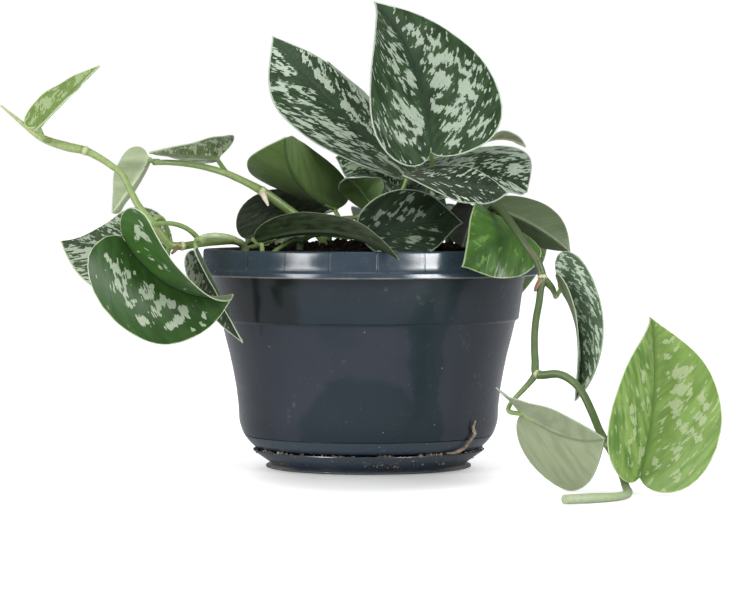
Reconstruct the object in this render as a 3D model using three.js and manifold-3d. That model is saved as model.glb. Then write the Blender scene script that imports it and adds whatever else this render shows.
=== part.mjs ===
import * as THREE from 'three';
import { mergeVertices } from 'three/addons/utils/BufferGeometryUtils.js';
import Module from 'manifold-3d';

// A satin pothos in a plastic hanging-basket pot with its clip-on saucer.
// Millimetres, +Z up, front at -Y. The origin is the middle of the saucer's flat base.

// ---------------------------------------------------------------- driving sizes
const RIM_TOP = 117.6; // height of the pot's rim
const RIM_RADIUS = 89; // outside of the rim at its top
const LIP_RADIUS = 91.2; // outside of the rim's lower lip
const LIP_BOTTOM = 103.5; // underside of the rim
const STEP_HEIGHT = 80; // the body steps in below this height
const WALL = 1.8; // wall of the pot and the saucer
const SAUCER_RADIUS = 62.5;
const SAUCER_HEIGHT = 9.8;
const FOOT_RADIUS = 55.5;
const GAP = 0.3; // clearance between pieces that touch
const SOIL_EDGE = 112; // height of the soil against the wall
const SOIL_CROWN = 118.6; // height of the soil in the middle
const BLADE = 1.0; // thickness of a blade at the midrib
const MARGIN = 0.7; // thickness of a blade at the margin
const STUB = 5; // length of petiole that belongs to a leaf
const STALK = 1.2; // radius of a petiole where it meets its leaf
const RING = 0.5; // how far a node's ring stands out from its stem
const TURNS = 32; // facets round the pot
const STEM_SIDES = 6;
const PETIOLE_SIDES = 5;
const HOLE_SIDES = 10;
const HOLE_EASE = 1.06; // a hole is this much wider, so that its flats clear the stem
const HOLE_TOP = 135; // above all of the soil

const COLOURS = {
  pot: 0x2b3740,
  saucer: 0x2c3841,
  soil: 0x2a211b,
  stem: 0x8fa862,
};

// ---------------------------------------------------------------- small tools
const wasm = await Module();
wasm.setup();

const vec = (a) => new THREE.Vector3(a[0], a[1], a[2]);
const rad = THREE.MathUtils.degToRad;
const clamp = THREE.MathUtils.clamp;

function solid(geometry) {
  const g = geometry.clone();
  g.deleteAttribute('normal');
  g.deleteAttribute('uv');
  const m = mergeVertices(g, 1e-4);
  return new wasm.Manifold(
    new wasm.Mesh({
      numProp: 3,
      vertProperties: new Float32Array(m.attributes.position.array),
      triVerts: new Uint32Array(m.index.array),
    }),
  );
}

function union(list) {
  return list.reduce((a, b) => a.add(b));
}

function meshOf(body, name, colour, roughness) {
  const m = body.getMesh();
  const g = new THREE.BufferGeometry();
  g.setAttribute('position', new THREE.BufferAttribute(new Float32Array(m.vertProperties), 3));
  g.setIndex(new THREE.BufferAttribute(new Uint32Array(m.triVerts), 1));
  g.computeVertexNormals();
  const material = new THREE.MeshStandardMaterial({ color: colour, roughness, metalness: 0 });
  const mesh = new THREE.Mesh(g, material);
  mesh.name = name;
  return mesh;
}

// A body turned round the Z axis from a profile of [radius, height] that starts and ends on it.
function turned(profile, turns = TURNS) {
  const g = new THREE.LatheGeometry(profile.map((p) => new THREE.Vector2(p[0], p[1])), turns);
  g.rotateX(Math.PI / 2);
  return solid(g);
}

// A closed round rod through the points, with one radius for each point.
function rod(points, radii, sides) {
  const positions = [];
  const index = [];
  const n = points.length;
  const along = points.map((p, i) => {
    const a = points[Math.max(i - 1, 0)];
    const b = points[Math.min(i + 1, n - 1)];
    return b.clone().sub(a).normalize();
  });
  let side = new THREE.Vector3(0, 1, 0).cross(along[0]);
  if (side.length() < 0.2) {
    side = new THREE.Vector3(1, 0, 0).cross(along[0]);
  }
  side.normalize();
  for (let i = 0; i < n; i += 1) {
    side.addScaledVector(along[i], -side.dot(along[i])).normalize();
    const other = along[i].clone().cross(side);
    for (let k = 0; k < sides; k += 1) {
      const a = (2 * Math.PI * k) / sides;
      const p = points[i].clone();
      p.addScaledVector(side, radii[i] * Math.cos(a));
      p.addScaledVector(other, radii[i] * Math.sin(a));
      positions.push(p.x, p.y, p.z);
    }
  }
  for (let i = 0; i < n - 1; i += 1) {
    for (let k = 0; k < sides; k += 1) {
      const a = i * sides + k;
      const b = i * sides + ((k + 1) % sides);
      index.push(a, b, b + sides, a, b + sides, a + sides);
    }
  }
  for (let k = 1; k < sides - 1; k += 1) {
    const e = (n - 1) * sides;
    index.push(0, k + 1, k, e, e + k, e + k + 1);
  }
  const g = new THREE.BufferGeometry();
  g.setAttribute('position', new THREE.Float32BufferAttribute(positions, 3));
  g.setIndex(index);
  return solid(g);
}

// A rod through knots of [x, y, z, radius].
function knotted(knots, sides) {
  return rod(knots.map(vec), knots.map((k) => k[3]), sides);
}

// ---------------------------------------------------------------- leaves
// A heart-shaped half blade, in shares of the blade's length: a lobe behind the base,
// then the side out to the tip. Rulings run from the midrib to the margin.
const LOBE_STEPS = 3;
const SIDE_STEPS = 5;
const ROWS = [0, 0.07, 0.5, 1]; // where the rows of the blade lie between midrib and margin
const KEEL = 1.1; // how far the midrib stands out below the blade at the base
const LEAN = 3; // distance from the midrib at which the thickness stands square to a folded half
const WIDEST = 0.3;
const LOBE_REACH = 0.16;

function bezier(p, t) {
  const s = 1 - t;
  return [0, 1].map(
    (k) => s ** 3 * p[0][k] + 3 * s * s * t * p[1][k] + 3 * s * t * t * p[2][k] + t ** 3 * p[3][k],
  );
}

function halfOutline(h, lobe) {
  const back = [[0, 0], [-1.45 * lobe, 0.1 * h], [-1.05 * lobe, h], [WIDEST, h]];
  const front = [[WIDEST, h], [0.68, h], [0.88, 0.22 * h], [1, 0]];
  const rulings = [];
  for (let i = 0; i <= LOBE_STEPS; i += 1) {
    const t = i / LOBE_STEPS;
    rulings.push({ root: LOBE_REACH * t, edge: bezier(back, t) });
  }
  for (let i = 1; i <= SIDE_STEPS; i += 1) {
    const t = i / SIDE_STEPS;
    rulings.push({ root: LOBE_REACH + (1 - LOBE_REACH) * t, edge: bezier(front, t) });
  }
  return rulings;
}

// The blade's form: the midrib is an arc from base to tip that bends away from the face and
// sweeps aside, the blade twists along it, and each half is folded up and curled across.
class Leaf {
  constructor(spec) {
    this.spec = spec;
    this.base = vec(spec.base);
    this.chord = vec(spec.tip).sub(this.base);
    const c = this.chord.clone().normalize();
    const n = vec(spec.face);
    n.addScaledVector(c, -n.dot(c)).normalize();
    const s = n.clone().cross(c);
    const bend = rad(spec.bend);
    const sweep = rad(spec.sweep);
    this.arc = Math.max(Math.hypot(bend, sweep), 1e-3);
    const k = n.clone().multiplyScalar(-bend).addScaledVector(s, sweep);
    this.k = k.length() > 1e-6 ? k.normalize() : n.clone().negate();
    this.c = c;
    this.n = n;
    this.s = s;
    this.length = (this.chord.length() * (this.arc / 2)) / Math.sin(this.arc / 2);
  }

  frame(t) {
    const u = Math.max(t, 0);
    const phi = (u - 0.5) * this.arc;
    const radius = this.length / this.arc;
    const sin = Math.sin(phi);
    const cos = Math.cos(phi);
    const along = this.c.clone().multiplyScalar(cos).addScaledVector(this.k, sin);
    const point = this.base.clone();
    point.addScaledVector(this.c, radius * (sin + Math.sin(this.arc / 2)));
    point.addScaledVector(this.k, -radius * (cos - Math.cos(this.arc / 2)));
    point.addScaledVector(along, Math.min(t, 0) * this.length);
    const turn = this.k.clone().multiplyScalar(cos - 1).addScaledVector(this.c, -sin);
    const up = this.n.clone().addScaledVector(turn, this.n.dot(this.k));
    const across = this.s.clone().addScaledVector(turn, this.s.dot(this.k));
    const twist = (u - 0.5) * rad(this.spec.twist);
    return {
      point,
      along,
      up: up.clone().multiplyScalar(Math.cos(twist)).addScaledVector(across, -Math.sin(twist)),
      across: across.multiplyScalar(Math.cos(twist)).addScaledVector(up, Math.sin(twist)),
    };
  }

  // A point x along and y out from the midrib, in shares of the length, with the face's normal.
  at(x, y, side) {
    const { spec } = this;
    const i = side > 0 ? 0 : 1;
    const f = this.frame(x);
    const q = (y * this.length) / spec.half[i];
    const fold = rad(spec.fold[i]);
    const curl = Math.abs(spec.curl[i]) < 0.5 ? rad(0.5) : rad(spec.curl[i]);
    const reach = (spec.half[i] / curl) * (Math.sin(fold + curl * q) - Math.sin(fold));
    const rise = (spec.half[i] / curl) * (Math.cos(fold) - Math.cos(fold + curl * q));
    const point = f.point.clone().addScaledVector(f.across, side * reach).addScaledVector(f.up, rise);
    const tilt = (fold + curl * q) * Math.min(1, (y * this.length) / LEAN);
    const normal = f.up.clone().multiplyScalar(Math.cos(tilt));
    normal.addScaledVector(f.across, -side * Math.sin(tilt));
    return { point, normal, share: q };
  }

  blade() {
    const positions = [];
    const ids = new Map();
    const last = LOBE_STEPS + SIDE_STEPS;
    const sides = [1, -1].map((side, i) => ({
      side,
      rulings: halfOutline(this.spec.half[i] / this.length, this.spec.lobe[i]),
    }));
    const id = ({ side, rulings }, i, j, face) => {
      let key = `${side}/${i}/${j}/${face}`;
      if (i === 0 || i === last) {
        key = `${i}/${face}`;
      } else if (j === 0) {
        key = `mid/${i}/${face}`;
      }
      if (!ids.has(key)) {
        const v = i === 0 || i === last ? 0 : ROWS[j];
        const { root, edge } = rulings[i];
        const p = this.at(root + (edge[0] - root) * v, edge[1] * v, side);
        let half = THREE.MathUtils.lerp(BLADE, MARGIN, clamp(p.share, 0, 1)) / 2;
        if (j === 0 && face < 0) {
          half += KEEL * STALK * (1 - 0.75 * root);
        }
        p.point.addScaledVector(p.normal, face * half);
        ids.set(key, positions.length / 3);
        positions.push(p.point.x, p.point.y, p.point.z);
      }
      return ids.get(key);
    };
    const index = [];
    const triangle = (a, b, c, flip) => {
      if (a !== b && b !== c && c !== a) {
        index.push(...(flip ? [a, c, b] : [a, b, c]));
      }
    };
    const edge = ROWS.length - 1;
    for (const half of sides) {
      for (let i = 0; i < last; i += 1) {
        for (let j = 0; j < edge; j += 1) {
          for (const face of [1, -1]) {
            const flip = face * half.side < 0;
            const [a, b] = [id(half, i, j, face), id(half, i + 1, j, face)];
            const [c, d] = [id(half, i + 1, j + 1, face), id(half, i, j + 1, face)];
            triangle(a, b, c, flip);
            triangle(a, c, d, flip);
          }
        }
        const flip = half.side < 0;
        const [a, b] = [id(half, i, edge, 1), id(half, i + 1, edge, 1)];
        const [c, d] = [id(half, i + 1, edge, -1), id(half, i, edge, -1)];
        triangle(a, b, c, flip);
        triangle(a, c, d, flip);
      }
    }
    const g = new THREE.BufferGeometry();
    g.setAttribute('position', new THREE.Float32BufferAttribute(positions, 3));
    g.setIndex(index);
    return solid(g);
  }

  // The direction in which the petiole comes up to the base, from below and behind.
  arrival() {
    const f = this.frame(0);
    const rise = rad(this.spec.rise ?? 75);
    const d = f.along.multiplyScalar(Math.cos(rise));
    return d.addScaledVector(f.up, Math.sin(rise)).normalize();
  }

  // Where a petiole that carries this leaf has its end.
  seat() {
    return this.base.clone().addScaledVector(this.arrival(), -(STUB + GAP));
  }

  stub() {
    const d = this.arrival();
    const points = [-STUB, -0.25].map((t) => this.base.clone().addScaledVector(d, t));
    const root = this.frame(0.04);
    points.push(root.point.addScaledVector(root.up, -(BLADE / 2 + 0.35 * STALK)));
    return rod(points, [STALK, STALK, 0.5 * STALK], PETIOLE_SIDES);
  }

  body() {
    return this.blade().add(this.stub());
  }
}

// Each leaf: base and tip of the midrib, the way its upper face looks, half widths on its left
// and right, midrib bend and sweep, twist, fold and curl of the two halves in degrees, the reach
// of the two lobes as a share of the length, the angle at which its petiole rises to the base
// where it isn't 75 degrees, and its colour.
const LEAVES = {
  leaf_01: {
    base: [33, -40, 170], tip: [3, 6, 251], face: [0.25, -0.8, 0.55], half: [41, 42],
    bend: 13, sweep: 33, twist: 40, fold: [24, 27], curl: [23, -49], lobe: [0.15, 0.08], rise: 90,
    colour: 0x3f5a42,
  },
  leaf_02: {
    base: [20, -6, 160], tip: [-53, 37, 234], face: [0.2, -0.75, 0.6], half: [39, 27],
    bend: 1, sweep: -14, twist: -46, fold: [8, -4], curl: [9, -30], lobe: [0.08, 0.08],
    colour: 0x5a7358,
  },
  leaf_03: {
    base: [9, 41, 171], tip: [-23, 61, 221], face: [0.6, -0.55, 0.6], half: [26, 25],
    bend: 11, sweep: -11, twist: 10, fold: [0, -7], curl: [9, -5], lobe: [0.16, 0.16],
    colour: 0x8fa08c,
  },
  leaf_04: {
    base: [21, -50.5, 156.4], tip: [74, -38.5, 147.6], face: [0.25, -0.5, 0.85], half: [23, 23],
    bend: 17, sweep: 21, twist: 41, fold: [1, 14], curl: [-10, -20], lobe: [0.08, 0.08],
    colour: 0x2e4a34,
  },
  leaf_05: {
    base: [39, 14, 159], tip: [87, 28, 148], face: [0.25, -0.95, -0.05], half: [31, 26],
    bend: 50, sweep: -45, twist: -38, fold: [35, 35], curl: [43, 74], lobe: [0.16, 0.16],
    colour: 0x7b9480,
  },
  leaf_06: {
    base: [58, 45, 173], tip: [87, 43, 173], face: [0, 0.35, 0.95], half: [13, 13],
    bend: 80, sweep: 6, twist: -37, fold: [20, 7], curl: [9, -26], lobe: [0.16, 0.16],
    colour: 0x5b6a3c,
  },
  leaf_07: {
    base: [10, 14, 154], tip: [-18, 17, 167], face: [0.2, -0.8, 0.6], half: [23, 16],
    bend: 18, sweep: 45, twist: -48, fold: [0, 19], curl: [60, 15], lobe: [0.26, 0.21],
    colour: 0x6f8268,
  },
  leaf_08: {
    base: [2, -16, 143], tip: [-11, -33, 156], face: [0.15, 0.55, 0.85], half: [16, 12],
    bend: 70, sweep: 45, twist: 39, fold: [-25, 3], curl: [60, -31], lobe: [0.08, 0.2],
    colour: 0x4f7038,
  },
  leaf_09: {
    base: [-19, -3, 140], tip: [-43, -71, 177], face: [-0.45, 0.55, 0.7], half: [25, 31],
    bend: 9, sweep: 45, twist: 18, fold: [38, 44], curl: [39, 11], lobe: [0.14, 0.12],
    colour: 0x4a6a35,
  },
  leaf_10: {
    base: [-63, 0, 123], tip: [-21, 26, 139.5], face: [-0.2, 0.9, 0.35], half: [8, 21],
    bend: 12, sweep: 0, twist: 0, fold: [8, 14], curl: [15, 10], lobe: [0.16, 0.17],
    colour: 0x2b3a2a,
  },
  leaf_11: {
    base: [-56, -52, 123], tip: [16, -99, 114], face: [0, 0.35, 0.93], half: [13, 11],
    bend: 46, sweep: 0, twist: -50, fold: [24, 58], curl: [20, 20], lobe: [0.08, 0.05],
    colour: 0x3d5a33,
  },
  leaf_12: {
    base: [-1, -64, 127], tip: [50, -44, 132], face: [0.35, -0.9, 0.3], half: [22, 28],
    bend: -20, sweep: -18, twist: -11, fold: [28, 45], curl: [23, -9], lobe: [0.14, 0.14],
    colour: 0x2a4428,
  },
  leaf_13: {
    base: [77, -58, 128], tip: [48, -94, 110], face: [0.6, -0.7, 0.4], half: [22, 23],
    bend: 41, sweep: 10, twist: -54, fold: [-6, 4], curl: [2, -2], lobe: [0.13, 0.08],
    colour: 0x5f9a3c,
  },
  leaf_14: {
    base: [70, -15, 138], tip: [108, -19, 116], face: [0.15, 1, 0.05], half: [20, 19],
    bend: -19, sweep: 28, twist: 19, fold: [31, 28], curl: [40, 44], lobe: [0.16, 0.13],
    colour: 0x5d6f4a,
  },
  leaf_15: {
    base: [100, -77, 99], tip: [106, -93, 41], face: [0.25, -0.95, 0.25], half: [25, 20],
    bend: 58, sweep: -27, twist: 5, fold: [74, 60], curl: [5, 20], lobe: [0.25, 0.07],
    colour: 0x33503a,
  },
  leaf_16: {
    base: [133, -170, 10], tip: [140, -143, 86.5], face: [0.55, -0.8, 0.25], half: [36, 36],
    bend: 24, sweep: 10, twist: 15, fold: [37, 40], curl: [-25, 20], lobe: [0.1, 0.1],
    colour: 0x8fb25a,
  },
  leaf_17: {
    base: [79, -138, 37.5], tip: [115, -184, 29], face: [0.75, 0.55, 0.4], half: [31, 31],
    bend: 3, sweep: -45, twist: -15, fold: [-10, -21], curl: [1, -19], lobe: [0.12, 0.28], rise: 35,
    colour: 0xa9b898,
  },
  leaf_18: {
    base: [-125, -93, 124], tip: [-70, -70, 95], face: [-0.05, -0.7, -0.7], half: [35, 34],
    bend: 82, sweep: 16, twist: 38, fold: [23, 68], curl: [30, -27], lobe: [0.19, 0.09],
    colour: 0x5c8a4c,
  },
  leaf_19: {
    base: [-111, -30, 113], tip: [-164, -26, 122], face: [0.05, -0.6, 0.8], half: [31, 34],
    bend: 25, sweep: -28, twist: 30, fold: [-6, -10], curl: [-16, 27], lobe: [0.16, 0.16], rise: 60,
    colour: 0x5c7a58,
  },
  leaf_20: {
    base: [-119, -12, 165], tip: [-136, -33, 137], face: [-0.85, 0.45, 0.2], half: [17, 17],
    bend: 8, sweep: 20, twist: 1, fold: [9, 18], curl: [6, 16], lobe: [0.11, 0.15],
    colour: 0xc3d0b0,
  },
  leaf_21: {
    base: [-82, -11, 167], tip: [-115, -52, 169], face: [-0.3, 0.25, 0.9], half: [24, 15],
    bend: 5, sweep: 10, twist: -24, fold: [8, 15], curl: [-20, 15], lobe: [0.09, 0.15],
    colour: 0x3f4f36,
  },
  leaf_22: {
    base: [-173, -53, 183], tip: [-142, -37, 215], face: [-0.55, -0.4, 0.75], half: [18, 19],
    bend: 1, sweep: -2, twist: -3, fold: [13, 19], curl: [-3, -4], lobe: [0.09, 0.14],
    colour: 0x9dbb62,
  },
  leaf_24: {
    base: [-90, -59, 117], tip: [-66, -53, 69], face: [-0.4, -0.9, 0], half: [5, 11],
    bend: 6, sweep: -6, twist: 0, fold: [70, 10], curl: [10, 20], lobe: [0.06, 0.06], rise: 50,
    colour: 0x3c5638,
  },
  leaf_25: {
    base: [57, 2, 138], tip: [50, -6, 117], face: [0.1, 0.95, 0.3], half: [13, 14],
    bend: 10, sweep: -6, twist: 8, fold: [10, 12], curl: [20, 16], lobe: [0.16, 0.13], rise: 60,
    colour: 0x2f4a2c,
  },
  leaf_26: {
    base: [14, 62, 136], tip: [20, 112, 92], face: [0, 0.65, 0.75], half: [27, 27],
    bend: 80, sweep: 6, twist: 8, fold: [14, 12], curl: [10, 14], lobe: [0.16, 0.15],
    colour: 0x4a6848,
  },
  leaf_27: {
    base: [-34, 56, 135], tip: [-54, 102, 90], face: [-0.3, 0.6, 0.75], half: [24, 25],
    bend: 80, sweep: -8, twist: -10, fold: [16, 12], curl: [8, 16], lobe: [0.15, 0.16],
    colour: 0x54704e,
  },
  leaf_28: {
    base: [56, 44, 136], tip: [86, 80, 90], face: [0.45, 0.45, 0.75], half: [25, 26],
    bend: 80, sweep: 8, twist: 6, fold: [12, 18], curl: [14, 8], lobe: [0.16, 0.15],
    colour: 0x476344,
  },
  leaf_29: {
    base: [36, 34, 168], tip: [28, 62, 228], face: [0.1, 0.75, 0.6], half: [25, 24],
    bend: 16, sweep: -10, twist: 8, fold: [16, 18], curl: [12, 8], lobe: [0.15, 0.16],
    colour: 0x506c4a,
  },
  leaf_30: {
    base: [13, 35, 142], tip: [42, 46, 151], face: [0.1, -0.85, 0.5], half: [12, 14],
    bend: 20, sweep: 0, twist: 0, fold: [14, 10], curl: [12, 16], lobe: [0.16, 0.15],
    colour: 0x5a744f,
  },
};

// ---------------------------------------------------------------- stems
// Knots are [x, y, z, radius]; the first two stand upright in a hole in the soil. `joints` are the
// knots with a thickened ring, `shoots` are short rods fused on, and each petiole runs from a
// point on the stem, in the direction `start`, to the seat of its leaf.
const STEMS = [
  {
    name: 'vine_left',
    knots: [
      [-66, -24, 100, 2], [-66, -24, 117, 2], [-70, -28, 122, 2], [-80, -38, 122, 2], [-90, -46, 121, 2],
      [-98, -52, 120, 2.1], [-104, -55, 121, 2.1], [-109, -58, 127, 2], [-114, -56, 134, 1.9],
      [-121, -53, 142, 1.8], [-129, -48, 157, 1.7], [-135, -46, 162, 1.7], [-141, -45, 166, 1.8],
      [-149, -44, 170, 2.1], [-158, -43, 172, 2.4], [-168, -42, 175, 2.1], [-174, -41, 178, 1.8],
      [-182, -40, 184, 1.2], [-188, -40, 189, 0.8], [-194, -40, 194, 0.4],
    ],
    joints: [5, 13],
    petioles: [
      { leaf: 'leaf_10', from: [-66, -24, 117], start: [0.2, 1, 0.3], r: 1.4 },
      { leaf: 'leaf_18', from: [-88, -45, 121], start: [-0.4, -0.4, 0.8], r: 1.5 },
      { leaf: 'leaf_19', from: [-113, -56, 133], start: [0.7, 0, 0.7], r: 1.4 },
      { leaf: 'leaf_22', from: [-166, -42, 174.5], start: [-0.8, -0.4, 0.5], r: 1.4 },
    ],
    shoots: [[[-100, -54, 120, 1.3], [-101, -57, 118, 1], [-103, -58, 116, 0.6]]],
  },
  {
    name: 'vine_upper',
    knots: [
      [-24, -30, 103, 2.2], [-24, -30, 121, 2.2], [-31, -30, 130, 2.3], [-40, -30, 137, 2.4],
      [-48, -33, 143, 2.4], [-56, -35, 148.6, 2.3], [-65, -34, 153.5, 1.9], [-75, -32, 158, 1.8],
      [-85, -28, 161, 1.7], [-95, -24, 163, 1.6], [-106, -21, 164, 1.5], [-115, -16, 164, 1.4],
    ],
    joints: [5],
    petioles: [
      { leaf: 'leaf_21', from: [-58, -35, 149.8], start: [-0.8, 0.2, 0.5], r: 1.2 },
      { leaf: 'leaf_20', from: [-114, -17, 164], start: [-1, 0.4, 0], r: 1.3 },
    ],
    shoots: [[[-56, -36, 148.3, 1.6], [-54.6, -39, 145, 1.4], [-52.8, -40.5, 141, 0.5]]],
  },
  {
    name: 'vine_short',
    knots: [
      [-65, -38, 100, 1.7], [-65, -38, 118, 1.7], [-70, -44, 123, 1.7], [-76, -51, 125, 1.7],
      [-82, -55, 125.5, 1.6], [-87, -54, 124.5, 1.4], [-91, -53, 122, 0.9],
    ],
    petioles: [{ leaf: 'leaf_24', from: [-86, -60, 123], start: [-0.6, 0.4, 0.5], r: 1.2 }],
  },
  {
    name: 'vine_right',
    knots: [
      [57, -26, 103, 2.2], [57, -26, 121, 2.2], [60, -31, 132, 2.2], [65, -46, 139, 2.2],
      [68, -64, 139.8, 2.2], [74.5, -80, 131, 2.2], [81, -90, 121, 2.2], [86, -93, 114, 2.1],
      [89, -95, 105, 2.2], [88, -98, 99, 1.9], [87, -102, 92, 1.8], [85, -109, 83, 1.8],
      [84, -116, 74, 1.8], [84, -123, 64, 1.9], [85, -128, 57, 2.1],
      [95, -134, 57.4, 2], [102, -138, 54, 2], [107, -141, 48, 2], [111.3, -144, 39, 2], [115, -145, 30, 2],
      [119, -146, 23, 2], [123, -147, 15, 2], [126, -151, 8, 2], [127, -161, 3.2, 2], [127, -178, 2.3, 2],
      [124, -193, 2.3, 2], [118, -203, 2.3, 2.1], [106, -212, 2.6, 2.4], [93, -221, 2.8, 2.3],
    ],
    joints: [8, 14, 20],
    petioles: [
      { leaf: 'leaf_13', from: [61, -36, 134.5], start: [1, 0, 0.3], r: 1.5 },
      { leaf: 'leaf_14', from: [59, -29, 129], start: [0.3, 0.6, 0.6], r: 1.4 },
      { leaf: 'leaf_25', from: [58, -27, 126], start: [0, 0.5, 0.8], r: 1.4 },
      { leaf: 'leaf_15', from: [89, -95, 104], start: [0.8, 0.1, -0.5], r: 2.2 },
      { leaf: 'leaf_17', from: [84.5, -127.5, 57.5], start: [-0.5, -0.1, -0.85], r: 1.6 },
      { leaf: 'leaf_16', from: [123.5, -147.5, 14], start: [0.5, -0.2, -0.6], r: 1.6 },
    ],
    shoots: [[[88, -97, 103, 1.6], [86, -99, 100, 1.2], [85, -100, 98, 0.7]]],
  },
  {
    name: 'crown_1',
    knots: [[29, -6, 104, 2.4], [29, -6, 122, 2.4], [29, -7, 132, 2.3]],
    petioles: [
      { leaf: 'leaf_01', from: [29, -7, 130], start: [0.1, -0.2, 1] },
      { leaf: 'leaf_02', from: [29, -7, 130], start: [-0.1, 0.2, 1] },
      { leaf: 'leaf_04', from: [29, -7, 131], start: [-0.3, -0.4, 1] },
    ],
  },
  {
    name: 'crown_2',
    knots: [[44, 12, 104, 2.4], [44, 12, 122, 2.4], [44, 11, 132, 2.3]],
    petioles: [
      { leaf: 'leaf_05', from: [44, 11, 130], start: [-0.3, 0.1, 1] },
      { leaf: 'leaf_06', from: [44, 11, 130], start: [0.2, 0.4, 1] },
      { leaf: 'leaf_29', from: [44, 11, 131], start: [-0.2, 0.4, 1] },
    ],
  },
  {
    name: 'crown_3',
    knots: [[2, 22, 104, 2.4], [2, 22, 122, 2.4], [3, 23, 132, 2.3]],
    petioles: [
      { leaf: 'leaf_03', from: [3, 23, 130], start: [0.2, 0.2, 1] },
      { leaf: 'leaf_07', from: [3, 23, 130], start: [0.5, 0, 1] },
      { leaf: 'leaf_30', from: [3, 23, 131], start: [-0.4, 0.4, 1] },
    ],
  },
  {
    name: 'crown_4',
    knots: [[-22, -4, 104, 2.3], [-22, -4, 122, 2.3], [-21, -4, 130, 2.1]],
    petioles: [
      { leaf: 'leaf_09', from: [-21, -4, 128], start: [0.2, 0.3, 1] },
      { leaf: 'leaf_08', from: [-21, -4, 129], start: [0.6, 0, 1] },
    ],
  },
  {
    name: 'crown_5',
    knots: [[-36, -46, 104, 2], [-36, -46, 119, 2], [-35, -47, 124, 1.8]],
    petioles: [
      { leaf: 'leaf_11', from: [-35, -47, 122], start: [-0.5, -0.3, 0.8] },
      { leaf: 'leaf_12', from: [-35, -47, 122], start: [0.7, -0.3, 0.8] },
    ],
  },
  {
    name: 'crown_6',
    knots: [[0, 50, 103, 2.2], [0, 50, 120, 2.2], [1, 51, 128, 2]],
    petioles: [
      { leaf: 'leaf_26', from: [1, 51, 126], start: [0.2, 0.1, 1] },
      { leaf: 'leaf_27', from: [1, 51, 126], start: [-0.6, 0, 0.9] },
      { leaf: 'leaf_28', from: [1, 51, 126], start: [0.7, 0, 0.9] },
    ],
  },
];

function petiole(leaf, from, start, radius) {
  const seat = leaf.seat();
  const end = seat.clone().addScaledVector(leaf.arrival(), -1.5);
  const span = from.distanceTo(end);
  const curve = new THREE.CubicBezierCurve3(
    from,
    from.clone().addScaledVector(start.normalize(), span * 0.4),
    end.clone().addScaledVector(leaf.arrival(), -span * 0.35),
    end,
  );
  const steps = clamp(Math.round(span / 9), 3, 6);
  const points = [];
  const radii = [];
  for (let i = 0; i <= steps; i += 1) {
    points.push(curve.getPoint(i / steps));
    radii.push(THREE.MathUtils.lerp(radius, STALK, Math.min(1, (2 * i) / steps)));
  }
  points.push(seat);
  radii.push(STALK);
  return rod(points, radii, PETIOLE_SIDES);
}

function stemBody(spec, leaves) {
  const pieces = [];
  const points = spec.knots.map(vec);
  pieces.push(knotted(spec.knots, STEM_SIDES));
  for (const i of spec.joints ?? []) {
    const p = points[i];
    const d = points[i + 1].clone().sub(points[i - 1]).normalize();
    const r = spec.knots[i][3];
    const ring = [-1.4, -0.5, 0.5, 1.4].map((t) => p.clone().addScaledVector(d, t));
    pieces.push(rod(ring, [r, r + RING, r + RING, r], STEM_SIDES));
  }
  for (const knots of spec.shoots ?? []) {
    pieces.push(knotted(knots, PETIOLE_SIDES));
  }
  for (const p of spec.petioles ?? []) {
    pieces.push(petiole(leaves[p.leaf], vec(p.from), vec(p.start), p.r ?? 1.6));
  }
  return union(pieces);
}

// ---------------------------------------------------------------- pot, saucer, soil
const OUTSIDE = [
  [0, 2.3], [46, 2.3], [49, 4.2], [57, 10.2], [60.4, 10.6], [62.4, 12], [66.3, 16.4], [68.6, 20.8],
  [69.9, 26], [70.3, 34], [71.4, 43], [73.2, 53], [75, 61.5], [77.2, 70], [79.2, 78.4],
  [80.9, STEP_HEIGHT], [82.4, 90], [84.2, LIP_BOTTOM - 1], [84.6, 114.6],
];
const RIM = [
  [87, 114.6], [89.2, LIP_BOTTOM], [LIP_RADIUS - 0.3, LIP_BOTTOM], [LIP_RADIUS, 106],
  [90, 107.4], [RIM_RADIUS + 0.3, 112], [RIM_RADIUS, RIM_TOP - 0.5], [RIM_RADIUS - 0.6, RIM_TOP],
];
const INSIDE = [
  [83.2, RIM_TOP], [82.7, 116.8], [82.3, LIP_BOTTOM], [77.4, 78.4], [69.6, 43], [68, 26],
  [64.6, 17], [60.8, 13.2], [56.4, 12.2], [47.6, 6], [45.2, 4.1], [0, 4.1],
];

function pot() {
  return turned([...OUTSIDE, ...RIM, ...INSIDE]);
}

function saucer() {
  return turned([
    [0, 0], [FOOT_RADIUS - 0.3, 0], [FOOT_RADIUS, 0.4], [FOOT_RADIUS - 0.2, 1.2], [52.4, 1.6],
    [53.2, 2.7], [SAUCER_RADIUS - 0.3, SAUCER_HEIGHT - 0.8], [SAUCER_RADIUS, SAUCER_HEIGHT - 0.4],
    [SAUCER_RADIUS - 0.3, SAUCER_HEIGHT], [SAUCER_RADIUS - WALL, SAUCER_HEIGHT],
    [51.6, 3.2], [50, 2], [0, 2],
  ]);
}

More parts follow.
